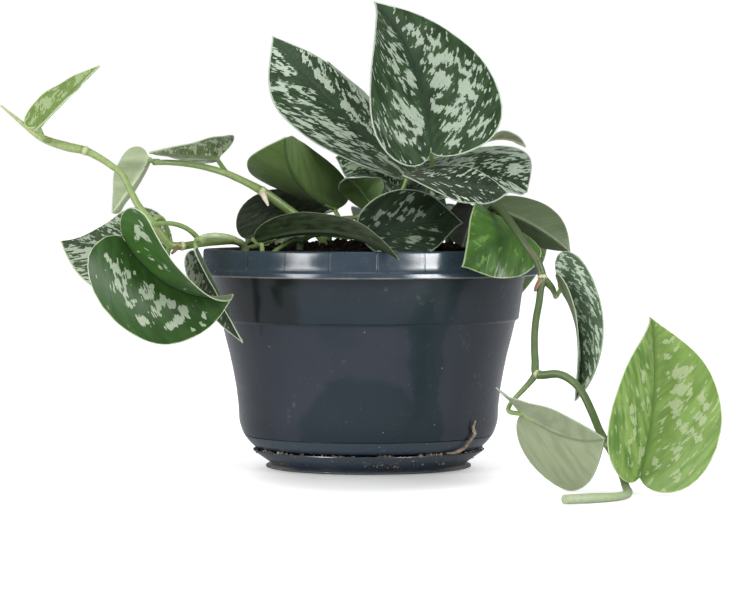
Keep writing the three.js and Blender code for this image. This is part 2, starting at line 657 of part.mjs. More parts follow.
// The soil fills the pot to a low lumpy mound, with a plain hole for each stem.
function soil(stems) {
  const wall = INSIDE.filter((p) => p[1] < SOIL_EDGE - 2).reverse();
  const rings = wall.map(([r, z]) => [Math.max(r - 1.3 * GAP, 0), z + GAP]);
  const last = [INSIDE[2][0] - 1.3 * GAP, SOIL_EDGE];
  const rows = [...rings.slice(1).map(([r, z]) => () => [r, z]), () => last];
  for (const share of [0.84, 0.64, 0.42, 0.2]) {
    rows.push((a) => {
      const mound = SOIL_EDGE + (SOIL_CROWN - SOIL_EDGE) * (1 - share ** 2);
      const lump = 0.7 * Math.sin(5 * a + 9 * share) + 0.5 * Math.sin(11 * a - 21 * share);
      return [last[0] * share, mound + lump * (1 - 0.6 * share)];
    });
  }
  const positions = [0, 0, rings[0][1]];
  const index = [];
  rows.forEach((row) => {
    for (let k = 0; k < TURNS; k += 1) {
      const a = (2 * Math.PI * k) / TURNS;
      const [r, z] = row(a);
      positions.push(r * Math.sin(a), -r * Math.cos(a), z);
    }
  });
  positions.push(0, 0, SOIL_CROWN);
  const top = positions.length / 3 - 1;
  for (let k = 0; k < TURNS; k += 1) {
    const n = (k + 1) % TURNS;
    index.push(0, 1 + n, 1 + k);
    for (let i = 0; i < rows.length - 1; i += 1) {
      const a = 1 + i * TURNS;
      const b = a + TURNS;
      index.push(a + k, a + n, b + n, a + k, b + n, b + k);
    }
    const e = 1 + (rows.length - 1) * TURNS;
    index.push(e + k, e + n, top);
  }
  const g = new THREE.BufferGeometry();
  g.setAttribute('position', new THREE.Float32BufferAttribute(positions, 3));
  g.setIndex(index);
  let body = solid(g);
  for (const { knots } of stems) {
    const [x, y, foot, r] = knots[0];
    const wide = (r + GAP) * HOLE_EASE;
    const low = foot - GAP;
    const hole = turned([[0, low], [wide, low], [wide, HOLE_TOP], [0, HOLE_TOP]], HOLE_SIDES);
    body = body.subtract(hole.translate([x, y, 0]));
  }
  return body;
}

// ---------------------------------------------------------------- the whole plant
const plant = new THREE.Group();
plant.name = 'satin_pothos_in_hanging_pot';
const leaves = {};
for (const [name, spec] of Object.entries(LEAVES)) {
  leaves[name] = new Leaf(spec);
}
plant.add(meshOf(pot(), 'pot', COLOURS.pot, 0.35));
plant.add(meshOf(saucer(), 'saucer', COLOURS.saucer, 0.4));
plant.add(meshOf(soil(STEMS), 'soil', COLOURS.soil, 0.95));
for (const stem of STEMS) {
  plant.add(meshOf(stemBody(stem, leaves), stem.name, COLOURS.stem, 0.55));
}
for (const [name, leaf] of Object.entries(leaves)) {
  plant.add(meshOf(leaf.body(), name, leaf.spec.colour, 0.5));
}

export default plant;
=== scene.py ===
"""A satin pothos in a dark plastic hanging-basket pot with its clip-on saucer.

Sizes are in millimetres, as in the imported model, and become metres when a mesh is made.
"""
import bpy
import math
import numpy as np
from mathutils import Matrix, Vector


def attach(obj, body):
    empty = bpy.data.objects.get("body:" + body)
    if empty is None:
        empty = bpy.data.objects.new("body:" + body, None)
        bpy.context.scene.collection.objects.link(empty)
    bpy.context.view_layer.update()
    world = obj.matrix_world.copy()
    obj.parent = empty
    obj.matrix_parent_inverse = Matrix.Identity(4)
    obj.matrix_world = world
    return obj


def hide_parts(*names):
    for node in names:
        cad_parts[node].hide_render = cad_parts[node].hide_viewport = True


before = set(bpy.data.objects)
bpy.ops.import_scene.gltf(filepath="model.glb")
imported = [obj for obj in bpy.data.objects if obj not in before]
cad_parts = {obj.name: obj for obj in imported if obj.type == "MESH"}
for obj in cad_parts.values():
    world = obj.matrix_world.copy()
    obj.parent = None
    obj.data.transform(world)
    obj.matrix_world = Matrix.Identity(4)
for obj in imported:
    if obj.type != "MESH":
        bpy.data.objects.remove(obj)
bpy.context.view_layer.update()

MM = 0.001


# ------------------------------------------------------------------ camera
EYE = (1.62, -1783.65, 151.5)
AIM = (1.62, 0.0, 86.91)
LENS = 160.0


def make_camera():
    """The camera stands at EYE and looks at AIM, upright and with no shift."""
    data = bpy.data.cameras.new("camera")
    data.lens = LENS
    data.sensor_width = 36.0
    data.clip_start = 0.05
    data.clip_end = 60.0
    camera = bpy.data.objects.new("camera", data)
    camera.location = Vector(EYE) * MM
    camera.rotation_mode = "QUATERNION"
    camera.rotation_quaternion = (Vector(AIM) - Vector(EYE)).to_track_quat("-Z", "Y")
    bpy.context.collection.objects.link(camera)
    bpy.context.scene.camera = camera


# ------------------------------------------------------------------ numbers and colours
def tone(code):
    """A colour written as six hexadecimal digits, as linear red, green, blue and alpha."""
    parts = [int(code[i:i + 2], 16) / 255.0 for i in (0, 2, 4)]
    linear = [c / 12.92 if c <= 0.04045 else ((c + 0.055) / 1.055) ** 2.4 for c in parts]
    return (*linear, 1.0)


def unit(v):
    """The vectors of an array, each divided by its length."""
    return v / np.maximum(np.linalg.norm(v, axis=-1, keepdims=True), 1e-9)


def noise(points, seed, waves=7):
    """A smooth random field: the mean of a few sine waves that run in random directions.

    points are in the field's own units, and one wave is about one unit long.
    """
    draw = np.random.default_rng(seed)
    ways = unit(draw.normal(size=(waves, points.shape[-1])))
    rates = 2 * np.pi * draw.uniform(0.55, 1.45, waves)
    phases = draw.uniform(0, 2 * np.pi, waves)
    return np.sin(points @ ways.T * rates + phases).sum(-1) / math.sqrt(waves)


# ------------------------------------------------------------------ meshes
# The kind of a mesh attribute and the name of its field, by its number of values.
KINDS = {1: ("FLOAT", "value"), 3: ("FLOAT_VECTOR", "vector"), 4: ("FLOAT_COLOR", "color")}


class Shape:
    """Points, triangles and point attributes that are joined into one mesh."""

    def __init__(self):
        self.points = []
        self.faces = []
        self.slots = []
        self.extra = {}
        self.count = 0

    def add(self, points, faces, slot=0, **extra):
        """Takes in a block: points (n, 3) in mm, faces (m, 3), and an array for each attribute."""
        self.points.append(points)
        self.faces.append(faces + self.count)
        self.slots.append(np.broadcast_to(slot, len(faces)))
        for name, values in extra.items():
            self.extra.setdefault(name, []).append((self.count, values))
        self.count += len(points)
        return self

    def mesh(self, name, widths):
        """The joined mesh in metres; widths gives the number of values of each attribute."""
        points = np.concatenate(self.points) * MM
        faces = np.concatenate(self.faces)
        slots = np.concatenate(self.slots)
        used, order = np.unique(faces, return_inverse=True)
        points, faces = points[used], order.reshape(faces.shape)
        mesh = bpy.data.meshes.new(name)
        mesh.vertices.add(len(points))
        mesh.vertices.foreach_set("co", points.ravel())
        mesh.loops.add(faces.size)
        mesh.loops.foreach_set("vertex_index", faces.ravel().astype(np.int32))
        mesh.polygons.add(len(faces))
        mesh.polygons.foreach_set("loop_start", np.arange(0, faces.size, 3, dtype=np.int32))
        mesh.polygons.foreach_set("material_index", slots.astype(np.int32))
        mesh.polygons.foreach_set("use_smooth", np.ones(len(faces), dtype=bool))
        for key, width in widths.items():
            full = np.zeros((self.count, width))
            for start, values in self.extra.get(key, []):
                full[start:start + len(values)] = values
            kind, field = KINDS[width]
            layer = mesh.attributes.new(key, kind, "POINT")
            layer.data.foreach_set(field, full[used].ravel())
        mesh.update(calc_edges=True)
        mesh.validate()
        return mesh


def make_piece(name, shape, widths, materials, nodes=(), crease=48):
    """Links the shape as a piece that rides on the plant and stands for the given CAD nodes.

    Edges sharper than crease, in degrees, stay sharp.
    """
    mesh = shape.mesh(name, widths)
    mesh.set_sharp_from_angle(angle=math.radians(crease))
    for material in materials:
        mesh.materials.append(material)
    piece = bpy.data.objects.new(name, mesh)
    bpy.context.collection.objects.link(piece)
    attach(piece, "root")
    if nodes:
        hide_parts(*nodes)


def sheet_faces(index):
    """Two triangles for each cell of a grid of point numbers, without those that have no area."""
    a, b = index[:-1, :-1].ravel(), index[1:, :-1].ravel()
    c, d = index[1:, 1:].ravel(), index[:-1, 1:].ravel()
    faces = np.concatenate([np.stack([a, b, c], -1), np.stack([a, c, d], -1)])
    flat = (faces[:, 0] == faces[:, 1]) | (faces[:, 1] == faces[:, 2]) | (faces[:, 0] == faces[:, 2])
    return faces[~flat]


def distances(path):
    """How far each point of a path lies from its start, along the path."""
    steps = np.linalg.norm(np.diff(path, axis=0), axis=1)
    return np.concatenate([[0], np.cumsum(steps)])


def smooth_path(knots, step):
    """A Catmull-Rom curve through knots of any width, with about one row for each step in mm.

    Each span between two knots is the cubic whose end slopes are half the span of the knots on
    either side, so the curve passes through each knot without a kink.
    """
    k = np.asarray(knots, float)
    k = np.vstack([2 * k[0] - k[1], k, 2 * k[-1] - k[-2]])
    total = distances(k[1:-1, :3])
    rows = max(int(total[-1] / step), 6)
    where = np.interp(np.linspace(0, total[-1], rows + 1), total, np.arange(len(total)))
    i = np.minimum(where.astype(int), len(total) - 2)
    t = (where - i)[:, None]
    p0, p1, p2, p3 = k[i], k[i + 1], k[i + 2], k[i + 3]
    return 0.5 * (2 * p1 + (p2 - p0) * t + (2 * p0 - 5 * p1 + 4 * p2 - p3) * t ** 2
                  + (3 * p1 - p0 - 3 * p2 + p3) * t ** 3)


def tube(path, radii, sides):
    """A round tube: each row is a circle at right angles to the path.

    The circle's first axis is the path's direction crossed with the one of many ways that the
    path never comes near to, so that the rows don't twist. Gives the points, and the faces with
    a fan at each end.
    """
    along = unit(np.gradient(path, axis=0))
    ways = unit(np.random.default_rng(5).normal(size=(300, 3)))
    away = ways[np.argmin(np.abs(along @ ways.T).max(0))]
    side = unit(np.cross(along, away))
    other = np.cross(along, side)
    turn = np.linspace(0, 2 * np.pi, sides, endpoint=False)
    ring = (np.cos(turn)[None, :, None] * side[:, None]
            + np.sin(turn)[None, :, None] * other[:, None])
    points = path[:, None] + ring * np.asarray(radii)[:, None, None]
    n = len(path)
    index = np.arange(n * sides).reshape(n, sides)
    index = np.concatenate([index, index[:, :1]], 1)
    faces = sheet_faces(index)
    k = np.arange(sides)
    first = np.stack([np.full(sides, n * sides), k, (k + 1) % sides], -1)
    e = (n - 1) * sides
    last = np.stack([np.full(sides, n * sides + 1), e + (k + 1) % sides, e + k], -1)
    points = np.concatenate([points.reshape(-1, 3), path[:1], path[-1:]])
    faces = np.concatenate([faces, first, last])
    return points, faces[:, ::-1]


def turned(profile, turns):
    """A surface of revolution: each [radius, height] of the profile goes round the Z axis.

    A profile that runs up the outside and comes back down the inside gives a closed wall.
    """
    p = np.asarray(profile, float)
    a = np.linspace(0, 2 * np.pi, turns, endpoint=False)
    level = np.broadcast_to(p[:, 1:], (len(p), turns))
    points = np.stack([p[:, :1] * np.sin(a), -p[:, :1] * np.cos(a), level], -1)
    index = np.arange(len(p) * turns).reshape(len(p), turns)
    index = np.concatenate([index, index[:, :1]], 1)
    for row in (0, -1):
        if p[row, 0] == 0:
            index[row, :] = index[row, 0]
    return points.reshape(-1, 3), sheet_faces(index)[:, ::-1]


# ------------------------------------------------------------------ leaves
# Each leaf: base and tip of the midrib, the way its upper face looks, half widths on its left
# and right, midrib bend and sweep, twist, fold and curl of the two halves in degrees, the reach
# of the two lobes as a share of the length, and the angle at which its petiole rises to the base.
LEAVES = {
    "leaf_01": dict(
        base=(33, -40, 170), tip=(3, 6, 251), face=(0.25, -0.8, 0.55), half=(41, 42),
        bend=13, sweep=33, twist=40, fold=(24, 27), curl=(23, -49), lobe=(0.15, 0.08), rise=90),
    "leaf_02": dict(
        base=(20, -6, 160), tip=(-53, 37, 234), face=(0.2, -0.75, 0.6), half=(39, 27),
        bend=1, sweep=-14, twist=-46, fold=(8, -4), curl=(9, -30), lobe=(0.08, 0.08)),
    "leaf_03": dict(
        base=(9, 41, 171), tip=(-23, 61, 221), face=(0.6, -0.55, 0.6), half=(26, 25),
        bend=11, sweep=-11, twist=10, fold=(0, -7), curl=(9, -5), lobe=(0.16, 0.16)),
    "leaf_04": dict(
        base=(21, -50.5, 156.4), tip=(74, -38.5, 147.6), face=(0.25, -0.5, 0.85), half=(23, 23),
        bend=17, sweep=21, twist=41, fold=(1, 14), curl=(-10, -20), lobe=(0.08, 0.08)),
    "leaf_05": dict(
        base=(39, 14, 159), tip=(87, 28, 148), face=(0.25, -0.95, -0.05), half=(31, 26),
        bend=50, sweep=-45, twist=-38, fold=(35, 35), curl=(43, 74), lobe=(0.16, 0.16)),
    "leaf_06": dict(
        base=(58, 45, 173), tip=(87, 43, 173), face=(0, 0.35, 0.95), half=(13, 13),
        bend=80, sweep=6, twist=-37, fold=(20, 7), curl=(9, -26), lobe=(0.16, 0.16)),
    "leaf_07": dict(
        base=(10, 14, 154), tip=(-18, 17, 167), face=(0.2, -0.8, 0.6), half=(23, 16),
        bend=18, sweep=45, twist=-48, fold=(0, 19), curl=(60, 15), lobe=(0.26, 0.21)),
    "leaf_08": dict(
        base=(2, -16, 143), tip=(-11, -33, 156), face=(0.15, 0.55, 0.85), half=(16, 12),
        bend=70, sweep=45, twist=39, fold=(-25, 3), curl=(60, -31), lobe=(0.08, 0.2)),
    "leaf_09": dict(
        base=(-19, -3, 140), tip=(-43, -71, 177), face=(-0.45, 0.55, 0.7), half=(25, 31),
        bend=9, sweep=45, twist=18, fold=(38, 44), curl=(39, 11), lobe=(0.14, 0.12)),
    "leaf_10": dict(
        base=(-63, 0, 123), tip=(-21, 26, 139.5), face=(-0.2, 0.9, 0.35), half=(8, 21),
        bend=12, sweep=0, twist=0, fold=(8, 14), curl=(15, 10), lobe=(0.16, 0.17)),
    "leaf_11": dict(
        base=(-56, -52, 123), tip=(16, -99, 114), face=(0, 0.35, 0.93), half=(13, 11),
        bend=46, sweep=0, twist=-50, fold=(24, 58), curl=(20, 20), lobe=(0.08, 0.05)),
    "leaf_12": dict(
        base=(-1, -64, 127), tip=(50, -44, 132), face=(0.35, -0.9, 0.3), half=(22, 28),
        bend=-20, sweep=-18, twist=-11, fold=(28, 45), curl=(23, -9), lobe=(0.14, 0.14)),
    "leaf_13": dict(
        base=(77, -58, 128), tip=(48, -94, 110), face=(0.6, -0.7, 0.4), half=(22, 23),
        bend=41, sweep=10, twist=-54, fold=(-6, 4), curl=(2, -2), lobe=(0.13, 0.08)),
    "leaf_14": dict(
        base=(70, -15, 138), tip=(108, -19, 116), face=(0.15, 1, 0.05), half=(20, 19),
        bend=-19, sweep=28, twist=19, fold=(31, 28), curl=(40, 44), lobe=(0.16, 0.13)),
    "leaf_15": dict(
        base=(100, -77, 99), tip=(106, -93, 41), face=(0.25, -0.95, 0.25), half=(25, 20),
        bend=58, sweep=-27, twist=5, fold=(74, 60), curl=(5, 20), lobe=(0.25, 0.07)),
    "leaf_16": dict(
        base=(133, -170, 10), tip=(140, -143, 86.5), face=(0.55, -0.8, 0.25), half=(36, 36),
        bend=24, sweep=10, twist=15, fold=(37, 40), curl=(-25, 20), lobe=(0.1, 0.1)),
    "leaf_17": dict(
        base=(79, -138, 37.5), tip=(115, -184, 29), face=(0.75, 0.55, 0.4), half=(31, 31),
        bend=3, sweep=-45, twist=-15, fold=(-10, -21), curl=(1, -19), lobe=(0.12, 0.28), rise=35),
    "leaf_18": dict(
        base=(-125, -93, 124), tip=(-70, -70, 95), face=(-0.05, -0.7, -0.7), half=(35, 34),
        bend=82, sweep=16, twist=38, fold=(23, 68), curl=(30, -27), lobe=(0.19, 0.09)),
    "leaf_19": dict(
        base=(-111, -30, 113), tip=(-164, -26, 122), face=(0.05, -0.6, 0.8), half=(31, 34),
        bend=25, sweep=-28, twist=30, fold=(-6, -10), curl=(-16, 27), lobe=(0.16, 0.16), rise=60),
    "leaf_20": dict(
        base=(-119, -12, 165), tip=(-136, -33, 137), face=(-0.85, 0.45, 0.2), half=(17, 17),
        bend=8, sweep=20, twist=1, fold=(9, 18), curl=(6, 16), lobe=(0.11, 0.15)),
    "leaf_21": dict(
        base=(-82, -11, 167), tip=(-115, -52, 169), face=(-0.3, 0.25, 0.9), half=(24, 15),
        bend=5, sweep=10, twist=-24, fold=(8, 15), curl=(-20, 15), lobe=(0.09, 0.15)),
    "leaf_22": dict(
        base=(-173, -53, 183), tip=(-142, -37, 215), face=(-0.55, -0.4, 0.75), half=(18, 19),
        bend=1, sweep=-2, twist=-3, fold=(13, 19), curl=(-3, -4), lobe=(0.09, 0.14)),
    "leaf_24": dict(
        base=(-90, -59, 117), tip=(-66, -53, 69), face=(-0.4, -0.9, 0), half=(5, 11),
        bend=6, sweep=-6, twist=0, fold=(70, 10), curl=(10, 20), lobe=(0.06, 0.06), rise=50),
    "leaf_25": dict(
        base=(57, 2, 138), tip=(50, -6, 117), face=(0.1, 0.95, 0.3), half=(13, 14),
        bend=10, sweep=-6, twist=8, fold=(10, 12), curl=(20, 16), lobe=(0.16, 0.13), rise=60),
    "leaf_26": dict(
        base=(14, 62, 136), tip=(20, 112, 92), face=(0, 0.65, 0.75), half=(27, 27),
        bend=80, sweep=6, twist=8, fold=(14, 12), curl=(10, 14), lobe=(0.16, 0.15)),
    "leaf_27": dict(
        base=(-34, 56, 135), tip=(-54, 102, 90), face=(-0.3, 0.6, 0.75), half=(24, 25),
        bend=80, sweep=-8, twist=-10, fold=(16, 12), curl=(8, 16), lobe=(0.15, 0.16)),
    "leaf_28": dict(
        base=(56, 44, 136), tip=(86, 80, 90), face=(0.45, 0.45, 0.75), half=(25, 26),
        bend=80, sweep=8, twist=6, fold=(12, 18), curl=(14, 8), lobe=(0.16, 0.15)),
    "leaf_29": dict(
        base=(36, 34, 168), tip=(28, 62, 228), face=(0.1, 0.75, 0.6), half=(25, 24),
        bend=16, sweep=-10, twist=8, fold=(16, 18), curl=(12, 8), lobe=(0.15, 0.16)),
    "leaf_30": dict(
        base=(13, 35, 142), tip=(42, 46, 151), face=(0.1, -0.85, 0.5), half=(12, 14),
        bend=20, sweep=0, twist=0, fold=(14, 10), curl=(12, 16), lobe=(0.16, 0.15)),
}

BLADE = 0.8  # thickness of a blade at the midrib
MARGIN = 0.45  # and at the margin
KEEL = 1.4  # how far the midrib stands out below the base
KEEL_WIDTH = 1.5
GROOVE = 0.3  # how deep the midrib lies in the upper face
GROOVE_WIDTH = 0.8
STALK = 1.2  # radius of a petiole where it meets its leaf
STALK_TONE = "8ea866"
STUB = 5.0  # length of petiole that belongs to a leaf
GAP = 0.3  # clearance between a leaf and its petiole
RISE = 75  # the angle of a petiole whose leaf names none
WIDEST = 0.3  # where the blade is widest, as a share of its length
LOBE_REACH = 0.16  # the midrib's share from which the lobes spread
WAVE = 0.6  # how high the margin waves
WAVES = 2.3  # waves along a margin, and up to 0.8 more, by the leaf's number
LEAST_CURL = 0.008  # radians; a flatter half counts as curled this much
LOBE_ROWS = 14
SIDE_ROWS = 56
ACROSS = 12
MARKED_ACROSS = 28  # rows across a half whose marks the mesh itself carries
STUB_SIDES = 12


def bezier(p, t):
    """The cubic curve with the four control points p, at each t."""
    p = np.asarray(p, float)
    t = np.asarray(t, float)[:, None]
    s = 1 - t
    return s ** 3 * p[0] + 3 * s * s * t * p[1] + 3 * s * t * t * p[2] + t ** 3 * p[3]


def half_outline(h, lobe):
    """Half of a heart: a lobe behind the base, then a side out to the tip, for a length of 1.

    Gives the margin's points and, for each, the point of the midrib that its ruling starts from.
    """
    back = [(0, 0), (-1.45 * lobe, 0.1 * h), (-1.05 * lobe, h), (WIDEST, h)]
    front = [(WIDEST, h), (0.68, h), (0.88, 0.22 * h), (1, 0)]
    a = np.linspace(0, 1, LOBE_ROWS + 1)
    b = np.linspace(0, 1, SIDE_ROWS + 1)[1:]
    margin = np.concatenate([bezier(back, a), bezier(front, b)])
    root = np.concatenate([LOBE_REACH * a, LOBE_REACH + (1 - LOBE_REACH) * b])
    return margin, root


class Leaf:
    """A blade whose midrib is an arc, and whose halves are folded up and curled across.

    The arc bends away from the face and sweeps aside by the two angles, the blade twists along
    it, and at a distance q of a half's width each half rises at its fold plus q times its curl.
    """

    def __init__(self, name, spec):
        self.name = name
        self.spec = spec
        self.base = np.array(spec["base"], float)
        chord = np.array(spec["tip"], float) - self.base
        span = np.linalg.norm(chord)
        self.forward = chord / span
        face = np.array(spec["face"], float)
        self.upward = unit(face - (face @ self.forward) * self.forward)
        self.leftward = np.cross(self.upward, self.forward)
        bend, sweep = math.radians(spec["bend"]), math.radians(spec["sweep"])
        self.arc = max(math.hypot(bend, sweep), 1e-3)
        self.away = unit(-bend * self.upward + sweep * self.leftward)
        self.length = span * (self.arc / 2) / math.sin(self.arc / 2)
        self.seed = int(name[-2:])

    def frame(self, t):
        """The midrib's point at each share t, and the directions along, up and to the left."""
        t = np.asarray(t, float)
        u = np.maximum(t, 0)
        phi = (u - 0.5) * self.arc
        radius = self.length / self.arc
        sin, cos = np.sin(phi)[..., None], np.cos(phi)[..., None]
        half = self.arc / 2
        along = cos * self.forward + sin * self.away
        arc_point = (sin + math.sin(half)) * self.forward - (cos - math.cos(half)) * self.away
        point = self.base + radius * arc_point
        point = point + np.minimum(t, 0)[..., None] * self.length * along
        turn = (cos - 1) * self.away - sin * self.forward
        up = self.upward + (self.upward @ self.away) * turn
        left = self.leftward + (self.leftward @ self.away) * turn
        twist = (u - 0.5) * math.radians(self.spec["twist"])
        ct, st = np.cos(twist)[..., None], np.sin(twist)[..., None]
        return point, along, up * ct - left * st, left * ct + up * st

    def at(self, x, y, w, side):
        """Points x along and y out on one side, in shares of the length, and the face's normals."""
        i = 0 if side > 0 else 1
        point, _, up, left = self.frame(x)
        half = self.spec["half"][i]
        fold = math.radians(self.spec["fold"][i])
        curl = math.radians(self.spec["curl"][i])
        curl = curl if abs(curl) > LEAST_CURL else LEAST_CURL
        q = y * self.length / half
        reach = half / curl * (np.sin(fold + curl * q) - math.sin(fold))
        rise = half / curl * (math.cos(fold) - np.cos(fold + curl * q))
        waves = 2 * np.pi * (WAVES + 0.2 * (self.seed % 5)) * w + self.seed + (1.3 if i else 0)
        rise = rise + WAVE * np.sin(waves) * np.clip(q, 0, 1.2) ** 2
        point = point + side * reach[..., None] * left + rise[..., None] * up
        tilt = (fold + curl * q) * np.clip(q / 0.03, 0, 1)
        normal = np.cos(tilt)[..., None] * up - side * np.sin(tilt)[..., None] * left
        return point, normal, q

    def marks(self, here):
        """How deep each place lies in a silver mark: 1 at a mark's middle, and 0 away from them."""
        if self.name not in MARKS:
            return np.zeros(here.shape[:-1])
        spots = np.array(MARKS[self.name])
        gap = np.hypot(here[..., :1] - spots[:, 0], here[..., 1:2] - spots[:, 1])
        return np.exp(-(gap / spots[:, 2]) ** 3).max(-1)

    def arrival(self):
        """The direction in which the petiole comes up to the base, from below and behind."""
        _, along, up, _ = self.frame(0.0)
        rise = math.radians(self.spec.get("rise", RISE))
        return unit(along * math.cos(rise) + up * math.sin(rise))

    def seat(self):
        """Where the leaf's own piece of petiole begins, with the clearance to its stem's petiole."""
        return self.base - self.arrival() * (STUB + GAP)

    def fill(self, shape):
        """Adds the blade and its piece of petiole to the shape.

        Rulings run from the midrib to the margin, and both faces stand off the same sheet by half
        of the thickness, with a rounded keel below the midrib and a groove above it.
        """
        rows = LOBE_ROWS + SIDE_ROWS + 1
        across = MARKED_ACROSS if self.name in MARKS else ACROSS
        share = np.linspace(0, 1, across + 1) ** 1.25
        w = np.linspace(0, 1, rows)[:, None] + 0 * share
        upper, lower, blade, depth = [], [], [], []
        for side, i in ((-1, 1), (1, 0)):
            margin, root = half_outline(self.spec["half"][i] / self.length, self.spec["lobe"][i])
            x = root[:, None] + (margin[:, :1] - root[:, None]) * share
            y = margin[:, 1:] * share
            point, normal, q = self.at(x, y, w, side)
            out = y * self.length
            ruling = np.hypot(margin[:, 0] - root, margin[:, 1])[:, None] * self.length
            thick = 0.5 * (BLADE + (MARGIN - BLADE) * np.clip(q, 0, 1))
            wide = KEEL_WIDTH * (1 - 0.6 * x)
            keel = KEEL * (1 - 0.8 * np.clip(x, 0, 1)) * np.exp(-(out / wide) ** 2)
            dip = GROOVE * (1 - 0.6 * np.clip(x, 0, 1)) * np.exp(-(out / GROOVE_WIDTH) ** 2)
            top = point + normal * (thick - dip)[..., None]
            low = point - normal * (thick + keel)[..., None]
            here = np.stack([x * self.length / 10, side * out / 10, (1 - share) * ruling / 10], -1)
            order = slice(None, 0, -1) if side < 0 else slice(None)
            upper.append(top[:, order])
            lower.append(low[:, order])
            blade.append(here[:, order])
            depth.append(self.marks(here)[:, order])
        top, low = np.concatenate(upper, 1), np.concatenate(lower, 1)
        blade = np.concatenate(blade, 1).reshape(-1, 3)
        depth = np.concatenate(depth, 1).reshape(-1, 1)
        columns = 2 * across + 1
        index = np.arange(rows * columns).reshape(rows, columns)
        index[0], index[-1] = index[0, across], index[-1, across]
        under = index + rows * columns
        faces = np.concatenate([
            sheet_faces(index),
            sheet_faces(np.stack([index[:, -1], under[:, -1]], 1)),
            sheet_faces(np.stack([under[:, 0], index[:, 0]], 1)),
        ])
        back = sheet_faces(under)[:, ::-1]
        points = np.concatenate([top.reshape(-1, 3), low.reshape(-1, 3)])
        slots = np.concatenate([np.zeros(len(faces), int), np.ones(len(back), int)])
        shape.add(points, np.concatenate([faces, back]), slots,
                  blade=np.concatenate([blade, blade]), marks=np.concatenate([depth, depth]))
        self.fill_stub(shape)
        return shape

    def fill_stub(self, shape):
        """Adds the short piece of petiole that ends in the keel: a tube that tapers into it."""
        d = self.arrival()
        knots = [np.append(self.seat() + d * 0.05, STALK), np.append(self.base - d * 2.6, STALK)]
        knots.append(np.append(self.base - d * 0.9, STALK * 1.12))
        for t, r in ((0.035, 0.95), (0.1, 0.7)):
            point, _, up, _ = self.frame(t)
            knots.append(np.append(point - up * (BLADE / 2 + 0.35 + 0.3 * r), r))
        path = smooth_path(knots, 0.7)
        points, faces = tube(path[:, :3], path[:, 3], STUB_SIDES)
        skin = np.tile(tone(STALK_TONE), (len(points), 1))
        shape.add(points, faces, 2, skin=skin, ring=np.full((len(points), 1), NO_RING))


